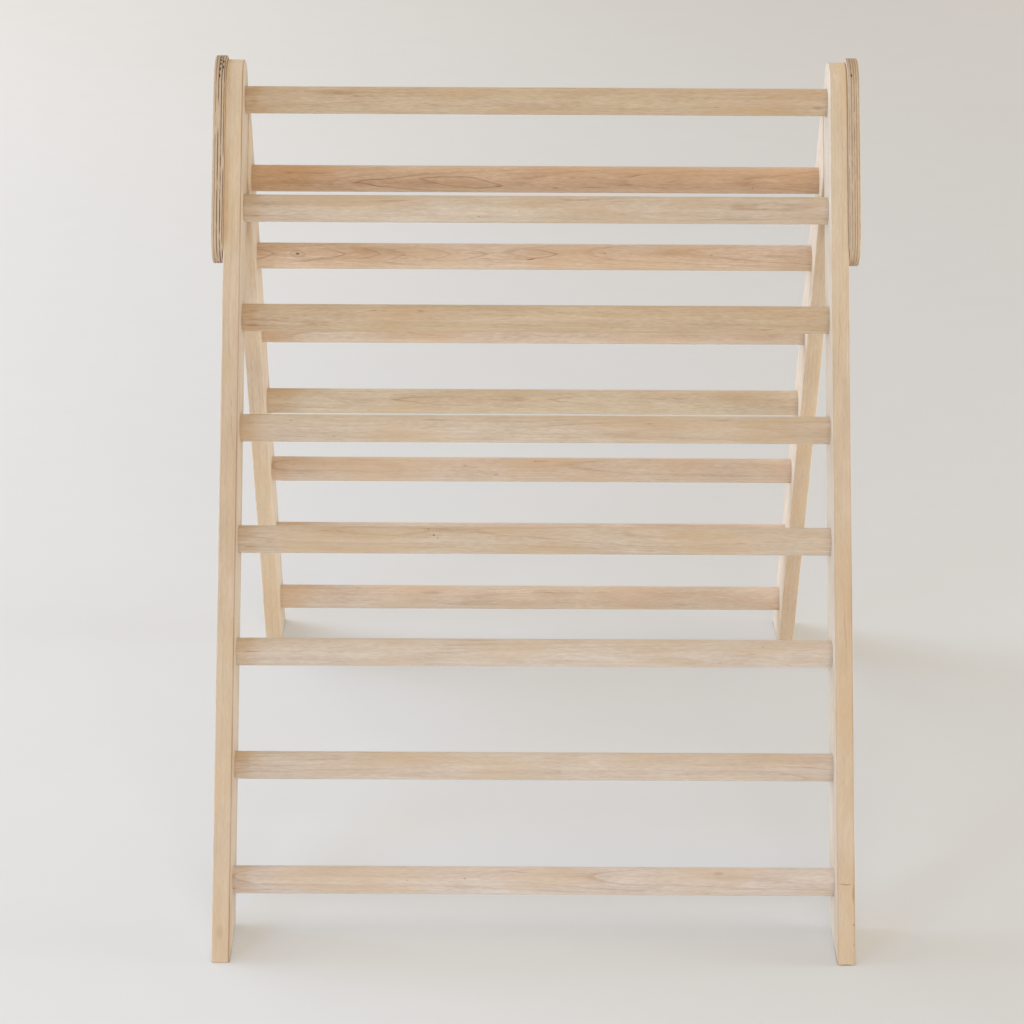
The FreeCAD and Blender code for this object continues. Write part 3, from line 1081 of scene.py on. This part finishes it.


# Each piece's tone, figure, pith and lean. The tones are partly painted light: paler down the front ladder
# and on the rear ladder.
STICKS = {
    "front_rung_1": Stick(Tone.HONEY, 1.0, (0.045, 0.030), (0.5, 1.4)),
    "front_rung_2": Stick(Tone.STRAW, 0.9, (0.070, -0.020), (0.2, 0.5)),
    "front_rung_3": Stick(Tone.HONEY, 1.0, (-0.050, 0.042), (0.7, 0.9)),
    "front_rung_4": Stick(Tone.STRAW, 0.9, (0.082, 0.015), (0.3, 0.3)),
    "front_rung_5": Stick(Tone.STRAW, 0.9, (0.055, -0.050), (0.9, 0.4)),
    "front_rung_6": Stick(Tone.CREAM, 0.8, (-0.064, 0.030), (0.4, 0.8)),
    "front_rung_7": Stick(Tone.CREAM, 0.8, (0.090, 0.038), (0.2, 0.4)),
    "front_rung_8": Stick(Tone.IVORY, 0.9, (0.060, -0.035), (1.1, 0.7)),
    "rear_rung_1": Stick(Tone.RUDDY, 1.05, (0.038, 0.012), (0.6, 2.3)),
    "rear_rung_2": Stick(Tone.GOLD, 1.1, (0.036, -0.014), (1.2, 2.0)),
    "rear_rung_3": Stick(Tone.GOLD, 0.9, (0.070, 0.025), (0.5, 0.9)),
    "rear_rung_4": Stick(Tone.OAT, 0.9, (-0.055, 0.036), (0.8, 1.2)),
    "rear_rung_5": Stick(Tone.GOLD, 0.8, (0.062, -0.028), (0.4, 0.6)),
    "rear_rung_6": Stick(Tone.GOLD, 0.8, (0.048, 0.044), (0.6, 0.9)),
    "rear_rung_7": Stick(Tone.GOLD, 0.8, (-0.075, 0.020), (0.3, 0.5)),
    "front_left_leg": Stick(Tone.OAT, 0.5, (0.030, 0.060), (0.7, 0.6), ((-0.3008, 0.8),)),
    "front_right_leg": Stick(Tone.OAT, 0.5, (-0.028, -0.070), (0.5, 0.4), ((0.3008, 0.3), (0.3173, 0.5))),
    "rear_left_leg": Stick(Tone.WHEAT, 0.5, (0.036, -0.064), (0.6, 0.5)),
    "rear_right_leg": Stick(Tone.WHEAT, 0.5, (-0.020, 0.072), (0.4, 0.7)),
}

# Marks on the rungs: X, degrees up from the level front, half length, half width, strength, tilt and form.
# Marks on the legs' front edges: distance down from the apex, X, and the same. Lengths are in millimetres.
MARKS = {
    "front_rung_1": (
        (-208, 50, 38, 4, 0.25), (-184, 35, 7, 1.2, 0.4, -6), (-225, -8, 16, 1, 0.2, 5),
        (-291, 5, 8, 2.5, 0.2), (177, 29, 6, 0.9, 0.45, 14), (186, -10, 5, 0.8, 0.45, -8),
        (290, -8, 9, 3, 0.3), (254, -34, 18, 0.7, 0.35),
    ),
    "front_rung_2": (
        (-145, 51, 26, 1.2, 0.4, 2), (-59, -18, 1.6, 1.1, 0.6), (-17, 7, 1.6, 1.1, 0.55),
        (176, -32, 13, 0.7, 0.4), (35, 62, 40, 1, 0.3), (81, 51, 26, 0.8, 0.25),
    ),
    "front_rung_3": (
        (-161, 50, 11, 1, 0.7), (-118, 50, 4, 0.9, 0.5), (-227, -12, 8, 1.2, 0.3),
        (-289, -21, 11, 2.5, 0.4), (165, -4, 50, 0.9, 0.25), (234, -28, 9, 1, 0.45),
        (78, -22, 1.3, 1, 0.5),
    ),
    "front_rung_4": (
        (-248, 49, 3.5, 1, 0.45, -20), (-205, -17, 1.3, 1, 0.45), (-99, 59, 25, 1.6, 0.35),
        (189, 65, 18, 0.8, 0.4), (116, 43, 6, 0.9, 0.4),
    ),
    "front_rung_5": (
        (-108, 73, 1.5, 1.1, 0.9), (-102, 42, 1.7, 1.2, 0.95), (-98, 30, 1.5, 1.1, 0.85),
        (-211, 61, 55, 0.7, 0.4), (-289, -13, 9, 0.8, 0.4), (117, -26, 12, 1.2, 0.35),
        (218, 14, 80, 0.8, 0.3, 3),
    ),
    "front_rung_6": (
        (-284, 25, 13, 0.7, 0.65), (212, 17, 16, 0.7, 0.45, 5), (230, 51, 1.3, 1, 0.55),
        (186, -18, 3, 0.9, 0.45),
    ),
    "front_rung_7": ((-114, 64, 30, 1, 0.2), (26, -1, 3, 1, 0.25)),
    "front_rung_8": (
        (-69, 34, 2, 1.1, 0.5), (-125, 24, 1.2, 1, 0.45), (-117, -36, 1.6, 1.3, 0.85),
        (184, 58, 7, 3, 0.3), (103, -14, 10, 0.7, 0.4), (174, -36, 3, 1, 0.5), (-14, 61, 14, 1, 0.3),
    ),
    "rear_rung_1": (
        (-242, 37, 60, 0.8, 0.45), (-60, -3, 130, 11, 0.6, 0, Form.ARCH),
        (-78, 1, 43, 5.5, 0.45, -5, Form.RING), (-39, -17, 5, 1.1, 0.6, -12), (21, -28, 6, 1.3, 0.65),
        (73, -15, 50, 0.8, 0.4, 4.5), (144, 8, 15, 0.8, 0.4, 10), (45, 23, 52, 0.8, 0.4),
        (106, 31, 10, 0.8, 0.4, 12), (229, -22, 1.5, 1.2, 0.7),
    ),
    "rear_rung_2": (
        (-312, 25, 32, 7.5, 0.4, 0, Form.BACK_ARCH), (-255, 25, 2.6, 1.8, 0.95),
        (-255, 25, 7.5, 3.5, 0.3, 0, Form.RING), (-240, 0, 28, 1, 0.45, 8.5),
        (-236, 25, 32, 6, 0.5, 0, Form.BACK_ARCH), (-199, 27, 34, 6.5, 0.35, 0, Form.BACK_ARCH),
        (-174, 24, 34, 7, 0.35, 0, Form.BACK_ARCH), (-128, 25, 38, 6.5, 0.25, 0, Form.BACK_ARCH),
        (-91, 25, 40, 6, 0.3, 0, Form.BACK_ARCH), (-21, 29, 46, 6.5, 0.5, 0, Form.BACK_ARCH),
        (-4, 3, 7, 1.1, 0.75, 8), (75, 34, 3, 1.1, 0.5), (182, 36, 11, 1, 0.5, -10),
        (191, 29, 2.2, 1.2, 0.6), (262, 25, 30, 2.2, 0.25),
    ),
    "rear_rung_3": ((-71, 8, 66, 5.5, 0.2, 0, Form.ARCH), (117, 35, 4.5, 1.1, 0.35)),
    "rear_rung_4": (
        (-88, 25, 68, 5, 0.4, 0, Form.ARCH), (-15, 32, 16, 4.5, 0.2), (-184, -26, 1.6, 1.2, 0.45),
        (75, 29, 56, 4.5, 0.35, 0, Form.ARCH), (151, 34, 37, 0.9, 0.35),
    ),
    "rear_rung_5": (
        (-76, 36, 3.5, 1.3, 0.4), (-40, -4, 4, 1.5, 0.45), (4, 64, 2, 1.3, 0.55), (11, 64, 15, 1.4, 0.4),
    ),
    "rear_rung_6": ((-200, 35, 24, 1.2, 0.25), (93, 6, 3.5, 1.2, 0.35)),
    "rear_rung_7": ((181, -13, 12, 2.5, 0.2), (-118, 42, 19, 3.5, 0.2)),
    "front_left_leg": (
        (400, -309, 300, 60, 0.16), (800, -309, 300, 60, 0.12), (290, -309, 60, 0.8, 0.3, 3),
        (350, -306, 70, 0.7, 0.25, 3), (400, -312, 50, 0.7, 0.22, 2), (855, -310, 10, 5, 0.2),
        # Painted shade: this row is a contact shadow under the foot.
        (886, -309, 2, 14, 0.75),
    ),
    "front_right_leg": (
        (440, 309, 300, 60, 0.15), (800, 309, 260, 60, 0.14), (806, 308, 1.2, 9, 0.5),
        # Painted shade: the row at 886 down is a contact shadow under the foot.
        (845, 316.5, 1.6, 1.3, 0.7), (886, 309, 2, 14, 0.75), (815, 316.5, 12, 1.5, 0.4),
        (865, 316.5, 3, 1.2, 0.5), (240, 308, 70, 0.8, 0.22, -2), (560, 311, 80, 0.8, 0.22, 2),
    ),
    "rear_left_leg": ((400, -309, 110, 60, 0.1),),
    "rear_right_leg": ((740, 309, 300, 60, 0.15),),
}


@dataclass
class Ladder:
    """One ladder: two board legs, the rungs between them and the screws that hold the lower rungs.

    Attributes:
        cad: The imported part.
        name: Which ladder it is.
        rungs: Number of rungs.
        bolted: Rungs from the top that bolts hold.
        apex: Y and Z where the centre lines of the two ladders meet.

    The other fields are the radii of the legs' corners and edges and the sizes of the holes and the screws.
    """

    cad: CadModel
    name: LadderName
    rungs: int
    bolted: int
    apex: Array
    corner: float = 0.004
    toe: float = 0.001
    ease: float = 0.0016
    crown: float = 0.036
    heel: float = 0.010
    glue_gap: float = 0.0001
    rung_chamfer: float = 0.001
    bolt_hole: float = 0.0042
    screw_hole: float = 0.0026
    screw_shank: float = 0.0025
    screw_head: float = 0.005
    screw_head_gap: float = 0.0001
    screw_head_height: float = 0.0035
    screw_edge: float = 0.0002
    screw_tip: float = 0.006
    screw_key: float = 0.004
    screw_key_depth: float = 0.0022
    RUNG_COUNT = 72
    SCREW_COUNT = 48

    def __post_init__(self) -> None:
        """Works out the rungs' centres, the ladder's directions and the depth and rise of its legs."""
        self.centres = np.array([self.cad.centre(self.rung_name(index))[1:] for index in range(self.rungs)])
        run = self.centres[-1] - self.centres[0]
        self.along = run / np.linalg.norm(run)
        self.across = np.array([-self.along[1], self.along[0]])
        self.grain = Vector((0.0, *self.along))
        self.normal = Vector((0.0, *self.across))
        self.leg = self.cad.points(self.leg_name(Side.RIGHT))[:, 1:] - self.apex
        self.half_depth = float(np.abs(self.leg @ self.across).max())
        self.rise = float(-(self.leg @ self.along).min())

    def rung_name(self, index: int) -> str:
        """Returns the node of a rung, counted from 0."""
        return f"{self.name.value}_rung_{index + 1}"

    def leg_name(self, side: Side) -> str:
        """Returns the node of a leg."""
        return f"{self.name.value}_{side.word}_leg"

    def foot(self, offset: float) -> Array:
        """Returns Y and Z where a line at an offset across from the centre line meets the floor."""
        start = self.apex + self.across * offset
        return start - self.along * start[1] / self.along[1]

    def crown_outline(self) -> tuple[Array, Array]:
        """A leg with a round top: the feet level with the floor, the two top corners rounded.

        Returns:
            Corners and their radii.
        """
        depth = self.half_depth
        top = self.apex - self.along * self.rise
        corners = [self.foot(-depth), self.foot(depth), top + self.across * depth, top - self.across * depth]
        return np.array(corners), np.array([self.toe, self.corner, self.crown, self.crown])

    def mitred_outline(self, other: "Ladder") -> tuple[Array, Array]:
        """A leg whose top is cut to stop on the other ladder's legs, and cut back to swing past them.

        The mitre runs along the other leg's edge. From the foot of the pivot's perpendicular on it, a chord
        of the circle about the pivot leads to this leg's own edge.

        Args:
            other: The ladder that it stops on.

        Returns:
            Corners and their radii.
        """
        depth = self.half_depth
        pivot = self.centres[0]
        stop = float((self.leg @ other.across).min())
        reach = float((pivot - self.apex) @ other.across) - stop
        run = (stop - depth * self.across @ other.across) / (self.along @ other.across)
        top = self.apex + self.across * depth + self.along * run
        mitre_end = pivot - other.across * reach
        chord_end = pivot - self.across * depth - self.along * math.sqrt(reach ** 2 - depth ** 2)
        corners = [self.foot(-depth), self.foot(depth), top, mitre_end, chord_end]
        return np.array(corners), np.array([self.corner, self.toe, self.heel, self.corner, self.corner])

    def leg_bores(self, side: Side, near: float, far: float) -> list[Bore]:
        """The sockets of all the rungs in a leg, each on to a bolt hole or a countersunk screw hole.

        Args:
            side: Side of the leg.
            near: X of its inner face.
            far: X of its outer face.

        Returns:
            The bores.
        """
        bores = []
        for index, centre in enumerate(self.centres):
            low, high = self.cad.box(self.rung_name(index))
            socket = (high[2] - low[2]) / 2 + self.glue_gap
            floor = side.value * high[0]
            rings = [(socket, near), (socket, floor)]
            if index < self.bolted:
                rings += [(self.bolt_hole, floor), (self.bolt_hole, far)]
            else:
                neck = far - side.value * self.screw_head_height
                rim = self.screw_head + self.screw_head_gap
                rings += [(self.screw_hole, floor), (self.screw_hole, neck), (rim, far)]
            bores.append(Bore(centre, rings))
        return bores

    def leg_mark(self, down: float, along: float, *row: Any) -> Mark:
        """Puts a mark on a leg's front edge, by its distance down from the apex and its X in millimetres."""
        edge = self.apex - self.across * self.half_depth + self.along * down * MILLIMETRE
        return Mark.laid(Vector((along * MILLIMETRE, *edge)), self.grain, -self.normal, *row)

    def build_legs(self, outline: tuple[Array, Array]) -> None:
        """Builds both legs, with their grain along them.

        Args:
            outline: Corners and radii of their outline.
        """
        turn = Matrix((self.grain, self.normal, self.grain.cross(self.normal))).transposed()
        for side in Side:
            node = self.leg_name(side)
            near, far = self.cad.ends(node, side)
            board = Board(*outline, near, far, self.ease, self.leg_bores(side, near, far))
            marks = tuple(self.leg_mark(*row) for row in MARKS[node])
            middle = Vector(self.cad.centre(node))
            faces = (min(near, far), max(near, far))
            timber = Timber(f"maple_{node}", STICKS[node], middle, turn, marks, faces)
            self.cad.adopt(board.shell().piece(f"{node}_board"), node, "maple", timber.material())

    @staticmethod
    def rung_mark(centre: Array, radius: float, along: float, rise: float, *row: Any) -> Mark:
        """Puts a mark on a rung's surface.

        Args:
            centre: Y and Z of the rung's axis.
            radius: Radius of the rung.
            along: X of the mark, in millimetres.
            rise: Degrees up from the level front.
            row: Half length, half width, strength, tilt and form.

        Returns:
            The mark.
        """
        angle = math.radians(rise)
        normal = Vector((0.0, -math.cos(angle), math.sin(angle)))
        place = Vector((along * MILLIMETRE, *centre)) + normal * radius
        return Mark.laid(place, Vector(X_AXIS), normal, *row)

    def build_rungs(self) -> None:
        """Builds the rungs: a straight dowel with a small chamfer at each end."""
        chamfer = self.rung_chamfer
        for index, centre in enumerate(self.centres):
            node = self.rung_name(index)
            low, high = self.cad.box(node)
            radius = (high[2] - low[2]) / 2
            shell = Shell()
            shell.turn(centre, [
                (radius - chamfer, low[0]), (radius, low[0] + chamfer),
                (radius, high[0] - chamfer), (radius - chamfer, high[0]),
            ], self.RUNG_COUNT)
            marks = tuple(self.rung_mark(centre, radius, *row) for row in MARKS[node])
            middle = Vector(((low[0] + high[0]) / 2, *centre))
            timber = Timber(f"maple_{node}", STICKS[node], middle, Matrix.Identity(3), marks)
            self.cad.adopt(shell.piece(f"{node}_dowel"), node, "maple", timber.material())

    def build_screws(self) -> None:
        """Builds the countersunk screws of the lower rungs, one piece on each side."""
        flats = hexagon(self.SCREW_COUNT) * self.screw_key / 2
        edge = self.screw_edge
        steel = STEEL.material()
        for side in Side:
            node = f"{self.name.value}_{side.word}_rung_screws"
            tip, face = self.cad.ends(node, side)
            profile = [
                (flats, self.screw_key_depth), (flats, edge), (flats + edge, 0.0),
                (self.screw_head - edge, 0.0), (self.screw_head, edge),
                (self.screw_shank, self.screw_head_height),
                (self.screw_shank, abs(tip - face) - self.screw_tip),
            ]
            rings = [(radius, face - side.value * depth) for radius, depth in profile]
            shell = Shell()
            for centre in self.centres[self.bolted:]:
                shell.turn(centre, rings, self.SCREW_COUNT, tip)
            self.cad.adopt(shell.piece(f"{node}_turned"), node, "steel", steel)


@dataclass
class TopJoint:
    """The plywood side plates, their bolts, the pivot bolts and what the bolts screw into.

    Attributes:
        cad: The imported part.
        front: The front ladder, which the plates are bolted to.
        rear: The rear ladder, which turns on the pivot bolts.

    The other fields are the radii of the plates' corners and edges and the sizes of the bolts.
    """

    cad: CadModel
    front: Ladder
    rear: Ladder
    corner: float = 0.030
    ease: float = 0.0015
    head_radius: float = 0.009
    head_height: float = 0.004
    head_gap: float = 0.0004
    head_edge: float = 0.0006
    edge_share: float = 0.3
    shank: float = 0.004
    shoulder: float = 0.005
    pivot_gap: float = 0.00005
    key: float = 0.005
    key_edge: float = 0.0003
    key_depth: float = 0.0025
    COUNT = 60
    LINES = {
        Side.LEFT: (
            (0.06, 0.02, 0.4), (0.24, 0.03, 0.7), (0.47, 0.04, 0.95), (0.72, 0.04, 1.0), (0.93, 0.03, 1.0),
        ),
        Side.RIGHT: (
            (0.1, 0.03, 0.45), (0.3, 0.03, 0.6), (0.5, 0.03, 0.65), (0.72, 0.03, 0.7), (0.95, 0.025, 0.8),
        ),
    }
    GROOVED = (0.15, 0.85)
    GROOVE_SHARES = (-0.035, 0.0, 0.035)
    GROOVE_DEPTHS = (0.0, 0.00015, 0.0)
    VOIDS = {
        Side.LEFT: ((0.56, 4), (0.56, 14), (0.56, 23), (0.54, 33), (0.52, 44), (0.80, 18), (0.80, 30)),
        Side.RIGHT: ((0.69, 39),),
    }
    VOID_SIZE = (3.5, 1.2)

    def plate_outline(self) -> tuple[Array, Array]:
        """A triangle with its sides along the legs: an arc about the apex on top and smaller arcs below.

        Returns:
            Corners and their radii.
        """
        plate = self.cad.points("left_plate")[:, 1:]
        apex = self.front.apex
        crown = float(((plate - apex) @ -self.front.across).max())
        bottom = float(plate[:, 1].min())
        peak = apex[1] - crown / self.front.across[1]
        half = (peak - bottom) * self.front.along[0] / self.front.along[1]
        corners = np.array([[apex[0], peak], [apex[0] - half, bottom], [apex[0] + half, bottom]])
        return corners, np.array([crown, self.corner, self.corner])

    def plate_relief(self, side: Side) -> Array:
        """Shallow grooves along the inner glue lines, deepest at the middle of each and level at its edges.

        Args:
            side: Side of the plate.

        Returns:
            Rows of share of the edge from the inner face and depth.
        """
        least, most = self.GROOVED
        middles = np.sort([1.0 - middle for middle, _, _ in self.LINES[side] if least < middle < most])
        shares = (middles[:, None] + np.array(self.GROOVE_SHARES)).ravel()
        return np.stack([shares, np.tile(self.GROOVE_DEPTHS, len(middles))], axis=-1)

    def plate_voids(self, side: Side, near: float, far: float, crown: float) -> tuple[Mark, ...]:
        """Lays the voids, dark spots of painted shade, on the top arc: each has its share from the outer face
        and its angle to the front.

        Args:
            side: Side of the plate.
            near: X of the face against the legs.
            far: X of the outer face.
            crown: Radius of the arc.

        Returns:
            The voids.
        """
        voids = []
        for share, degrees in self.VOIDS[side]:
            angle = math.radians(degrees)
            normal = Vector((0.0, -math.sin(angle), math.cos(angle)))
            along = Vector((0.0, -math.cos(angle), -math.sin(angle)))
            place = Vector((far + share * (near - far), *self.front.apex)) + normal * crown
            voids.append(Mark.laid(place, along, normal, *self.VOID_SIZE, 1.0))
        return tuple(voids)

    def build_plates(self) -> None:
        """Builds both plates, counterbored for the bolts."""
        corners, radii = self.plate_outline()
        recess = self.head_radius + self.head_gap
        holes = [(centre, self.front.bolt_hole) for centre in self.front.centres[: self.front.bolted]]
        holes.append((self.rear.centres[0], self.shoulder + self.pivot_gap))
        for side in Side:
            node = f"{side.word}_plate"
            near, far = self.cad.ends(node, side)
            _, face = self.cad.ends(f"{side.word}_plate_bolts", side)
            seat = face - side.value * self.head_height
            bores = []
            for centre, hole in holes:
                bores.append(Bore(centre, [(hole, near), (hole, seat), (recess, seat), (recess, far)]))
            board = Board(corners, radii, near, far, self.ease, bores, self.plate_relief(side))
            voids = self.plate_voids(side, near, far, radii[0])
            plywood = Plywood(f"birch_plywood_{side.word}", near, far, self.LINES[side], voids)
            self.cad.adopt(board.shell().piece(f"{node}_board"), node, "birch_ply", plywood.material())

    def bolt_profile(self, length: float, neck: float) -> list[Ring]:
        """Half profile of a flat-headed bolt with a hexagonal key recess.

        Args:
            length: Length from the face of the head.
            neck: Depth where a shoulder ends, or 0 for a plain shank.

        Returns:
            Rows of radius and depth from the face.
        """
        flats = hexagon(self.COUNT) * self.key / 2
        head, edge = self.head_radius, self.head_edge
        part = edge * self.edge_share
        profile = [
            (flats, self.key_depth), (flats, self.key_edge), (flats + self.key_edge, 0.0), (head - edge, 0.0),
            (head - part, part), (head, edge), (head, self.head_height),
        ]
        if neck:
            profile += [(self.shoulder, self.head_height), (self.shoulder, neck)]
        start = neck or self.head_height
        profile += [(self.shank, start), (self.shank, length - edge), (self.shank - edge, length)]
        return profile

    def build_bolts(self) -> None:
        """Builds the plate bolts and the pivot bolts of both sides."""
        steel = STEEL.material()
        for side in Side:
            _, leg_face = self.cad.ends(self.rear.leg_name(side), side)
            for node, centres, shouldered in (
                (f"{side.word}_plate_bolts", self.front.centres[: self.front.bolted], False),
                (f"{side.word}_pivot_bolt", self.rear.centres[:1], True),
            ):
                end, face = self.cad.ends(node, side)
                profile = self.bolt_profile(abs(face - end), abs(face - leg_face) if shouldered else 0.0)
                rings = [(radius, face - side.value * depth) for radius, depth in profile]
                shell = Shell()
                for centre in centres:
                    shell.turn(centre, rings, self.COUNT)
                self.cad.adopt(shell.piece(f"{node}_turned"), node, "steel", steel)

    def dress_hidden(self) -> None:
        """Gives the threaded inserts and the washers, whose CAD solids stay, their finishes."""
        brass, nylon = BRASS.material(), NYLON.material()
        for side in Side:
            self.cad.keep(f"{side.word}_plate_inserts", brass)
            self.cad.keep(f"{side.word}_pivot_insert", brass)
            self.cad.keep(f"{side.word}_pivot_washer", nylon)


# Stage


@dataclass(frozen=True)
class Lamp:
    """A soft square lamp.

    Attributes:
        name: Name of the lamp.
        place: Where it stands.
        target: What it points at.
        side: Length of its side.
        power: Its power in watts.
        colour: Colour of its light.
    """

    name: str
    place: Triple
    target: Triple
    side: float
    power: float
    colour: Colour

    def add(self) -> None:
        """Adds the lamp, out of the camera's sight."""
        data = bpy.data.lights.new(self.name, "AREA")
        data.size = self.side
        data.energy = self.power
        data.color = self.colour
        lamp = bpy.data.objects.new(self.name, data)
        lamp.location = self.place
        lamp.rotation_euler = (Vector(self.target) - Vector(self.place)).to_track_quat("-Z", "Y").to_euler()
        lamp.visible_camera = False
        bpy.context.scene.collection.objects.link(lamp)


@dataclass(frozen=True)
class Glow:
    """Soft light from one side: its colour times the squared cosine of the angle from its middle.

    Attributes:
        towards: Unit vector to its middle.
        colour: Its colour there.
    """

    towards: Triple
    colour: Colour


@dataclass(frozen=True)
class Studio:
    """The plain pale floor, the soft light round it and the lamps.

    Attributes:
        floor_radius: Radius of the floor.
        floor_rings: Rings of faces in the floor.
        floor_count: Points on each ring.
        floor_colour: Colour of the floor.
        floor_shade: Colour of its darker clouds.
        floor_lift: Share of its colour that the camera sees even in shadow.
        left_lift: How much more that is on the bright left.
        left_reach: X where that starts and where it is full.
        glows: Soft light from the sides and from above.
        backdrop: What the camera sees beyond the floor.
        lamps: The lamps.
    """

    floor_radius: float = 9.0
    floor_rings: int = 6
    floor_count: int = 84
    floor_colour: Colour = linear(216, 214, 210)
    floor_shade: Colour = linear(212, 210, 206)
    floor_lift: float = 0.35
    left_lift: float = 0.4
    left_reach: tuple[float, float] = (0.8, -1.2)
    glows: tuple[Glow, ...] = (
        Glow((0.0, 0.0, 1.0), (0.57, 0.39, 0.19)),
        Glow((-1.0, 0.0, 0.0), (1.30, 1.40, 1.50)),
        Glow((1.0, 0.0, 0.0), (0.67, 0.61, 0.52)),
    )
    backdrop: Colour = linear(224, 222, 218)
    lamps: tuple[Lamp, ...] = (
        Lamp("left_lamp", (-5.0, 1.4, 2.3), (0.0, 0.2, 0.3), 3.0, 250.0, (0.56, 0.71, 1.0)),
        Lamp("left_back_lamp", (-3.6, 4.2, 2.2), (0.0, 1.5, 0.2), 2.4, 72.0, (0.92, 0.96, 1.0)),
        Lamp("left_front_lamp", (-2.4, -3.0, 1.9), (0.0, 0.0, 0.4), 1.2, 44.5, (0.34, 0.62, 1.0)),
        Lamp("low_front_lamp", (0.0, -5.5, 0.2), (0.0, 0.0, 0.35), 2.2, 108.0, (0.45, 0.66, 1.0)),
        Lamp("high_front_lamp", (0.3, -6.0, 2.4), (0.0, 0.0, 0.4), 3.0, 159.0, (1.0, 0.89, 0.69)),
        Lamp("right_lamp", (3.2, -0.2, 0.6), (0.0, 0.0, 0.4), 1.2, 74.0, (0.74, 0.88, 1.0)),
        Lamp("right_back_lamp", (2.8, 4.2, 1.3), (0.9, 3.8, 0.0), 2.4, 15.0, (1.0, 0.97, 0.92)),
    )
    CLOUD = Noise((1.1, 1.1, 1.1), 3.0, 0.6)
    TROWEL = Noise((14.0, 14.0, 14.0), 4.0, 0.4)
    ROUGHNESS = 0.6
    TROWEL_ROUGHNESS = 0.2
    SPECULAR = 0.05
    RELIEF = 0.0005

    def floor_material(self) -> bpy.types.Material:
        """Pale trowelled plaster, whose shadows are lifted a little to the camera, most on the left.

        Returns:
            The material.
        """
        shader = Shader.named("pale_floor")
        place = shader.object_place()
        trowel = self.TROWEL.level(shader, place)
        shade = self.CLOUD.share * self.CLOUD.level(shader, place) + self.TROWEL.share * trowel
        colour = shader.mixed(shade, self.floor_colour, self.floor_shade)
        seen = shader.seen()
        left = shader.along(place, X_AXIS).ramp(*self.left_reach)
        return shader.finish({
            "Base Color": shader.mixed(seen * self.floor_lift, colour, BLACK),
            "Emission Color": shader.mixed(seen, BLACK, shader.scaled(colour, 1.0 + self.left_lift * left)),
            "Emission Strength": self.floor_lift,
            "Roughness": self.ROUGHNESS + self.TROWEL_ROUGHNESS * trowel,
            "Specular IOR Level": self.SPECULAR,
        }, trowel, self.RELIEF)

    def add_floor(self) -> None:
        """Adds the floor: a flat disc of rings about the origin."""
        radii = np.linspace(0.0, self.floor_radius, self.floor_rings + 1)[1:]
        flat = radii[:, None, None] * directions(round_angles(self.floor_count))
        shell = Shell()
        numbers = shell.add(np.concatenate([flat, np.zeros_like(flat[..., :1])], axis=-1))
        shell.rings(numbers)
        shell.cap(numbers[0], np.zeros(3))
        floor = shell.piece("studio_floor")
        floor.data.materials.append(self.floor_material())
        floor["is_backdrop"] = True

    def add_sky(self) -> None:
        """Adds the light round the floor: the sum of the glows, and a plain backdrop to the camera."""
        shader = Shader(bpy.data.worlds.new("studio_light"))
        direction = shader.node("ShaderNodeTexCoord").outputs["Generated"]
        light = BLACK
        for glow in self.glows:
            share = shader.along(direction, glow.towards).most(0.0) ** 2.0
            light = shader.vector("ADD", light, shader.scaled(glow.colour, share))
        colour = shader.mixed(shader.seen(), light, self.backdrop)
        background = shader.node("ShaderNodeBackground", {"Color": colour, "Strength": 1.0})
        shader.node("ShaderNodeOutputWorld", {"Surface": background.outputs[0]})
        bpy.context.scene.world = shader.owner

    def build(self) -> None:
        """Adds the floor, the light round it and the lamps."""
        self.add_floor()
        self.add_sky()
        for lamp in self.lamps:
            lamp.add()
        bpy.context.scene.view_settings.view_transform = "Standard"


@dataclass(frozen=True)
class PhotoCamera:
    """The camera at the photograph's viewing angle.

    Attributes:
        place: Where it stands.
        focal: Focal length in pixels of the square image.
        pitch: Degrees down.
        yaw: Degrees to the right.
        roll: Degrees of turn about its view.
    """

    place: Triple = (-0.0299, -3.5962, 1.6286)
    focal: float = 3558.2
    pitch: float = 20.159
    yaw: float = 0.114
    roll: float = -0.310

    def add(self) -> None:
        """Adds the camera and makes it the scene's."""
        data = bpy.data.cameras.new("photo_camera")
        data.lens = self.focal * data.sensor_width / IMAGE_SIDE
        pitch, yaw, roll = (math.radians(angle) for angle in (self.pitch, self.yaw, self.roll))
        forward = Vector((math.sin(yaw) * math.cos(pitch), math.cos(yaw) * math.cos(pitch), -math.sin(pitch)))
        level = Vector((math.cos(yaw), -math.sin(yaw), 0.0))
        down = forward.cross(level)
        right = level * math.cos(roll) + down * math.sin(roll)
        up = level * math.sin(roll) - down * math.cos(roll)
        camera = bpy.data.objects.new("photo_camera", data)
        axes = Matrix((right, up, -forward)).transposed().to_4x4()
        camera.matrix_world = Matrix.Translation(self.place) @ axes
        bpy.context.scene.collection.objects.link(camera)
        bpy.context.scene.camera = camera


def main() -> None:
    logging.basicConfig(level=logging.INFO, format="%(message)s")
    cad = CadModel()
    PhotoCamera().add()
    Studio().build()
    apex = cad.centre("front_rung_1")[1:]
    front = Ladder(cad, LadderName.FRONT, rungs=8, bolted=2, apex=apex)
    rear = Ladder(cad, LadderName.REAR, rungs=7, bolted=1, apex=apex)
    front.build_legs(front.crown_outline())
    rear.build_legs(rear.mitred_outline(front))
    for ladder in (front, rear):
        ladder.build_rungs()
        ladder.build_screws()
    joint = TopJoint(cad, front, rear)
    joint.build_plates()
    joint.build_bolts()
    joint.dress_hidden()


if __name__ == "__main__":
    main()
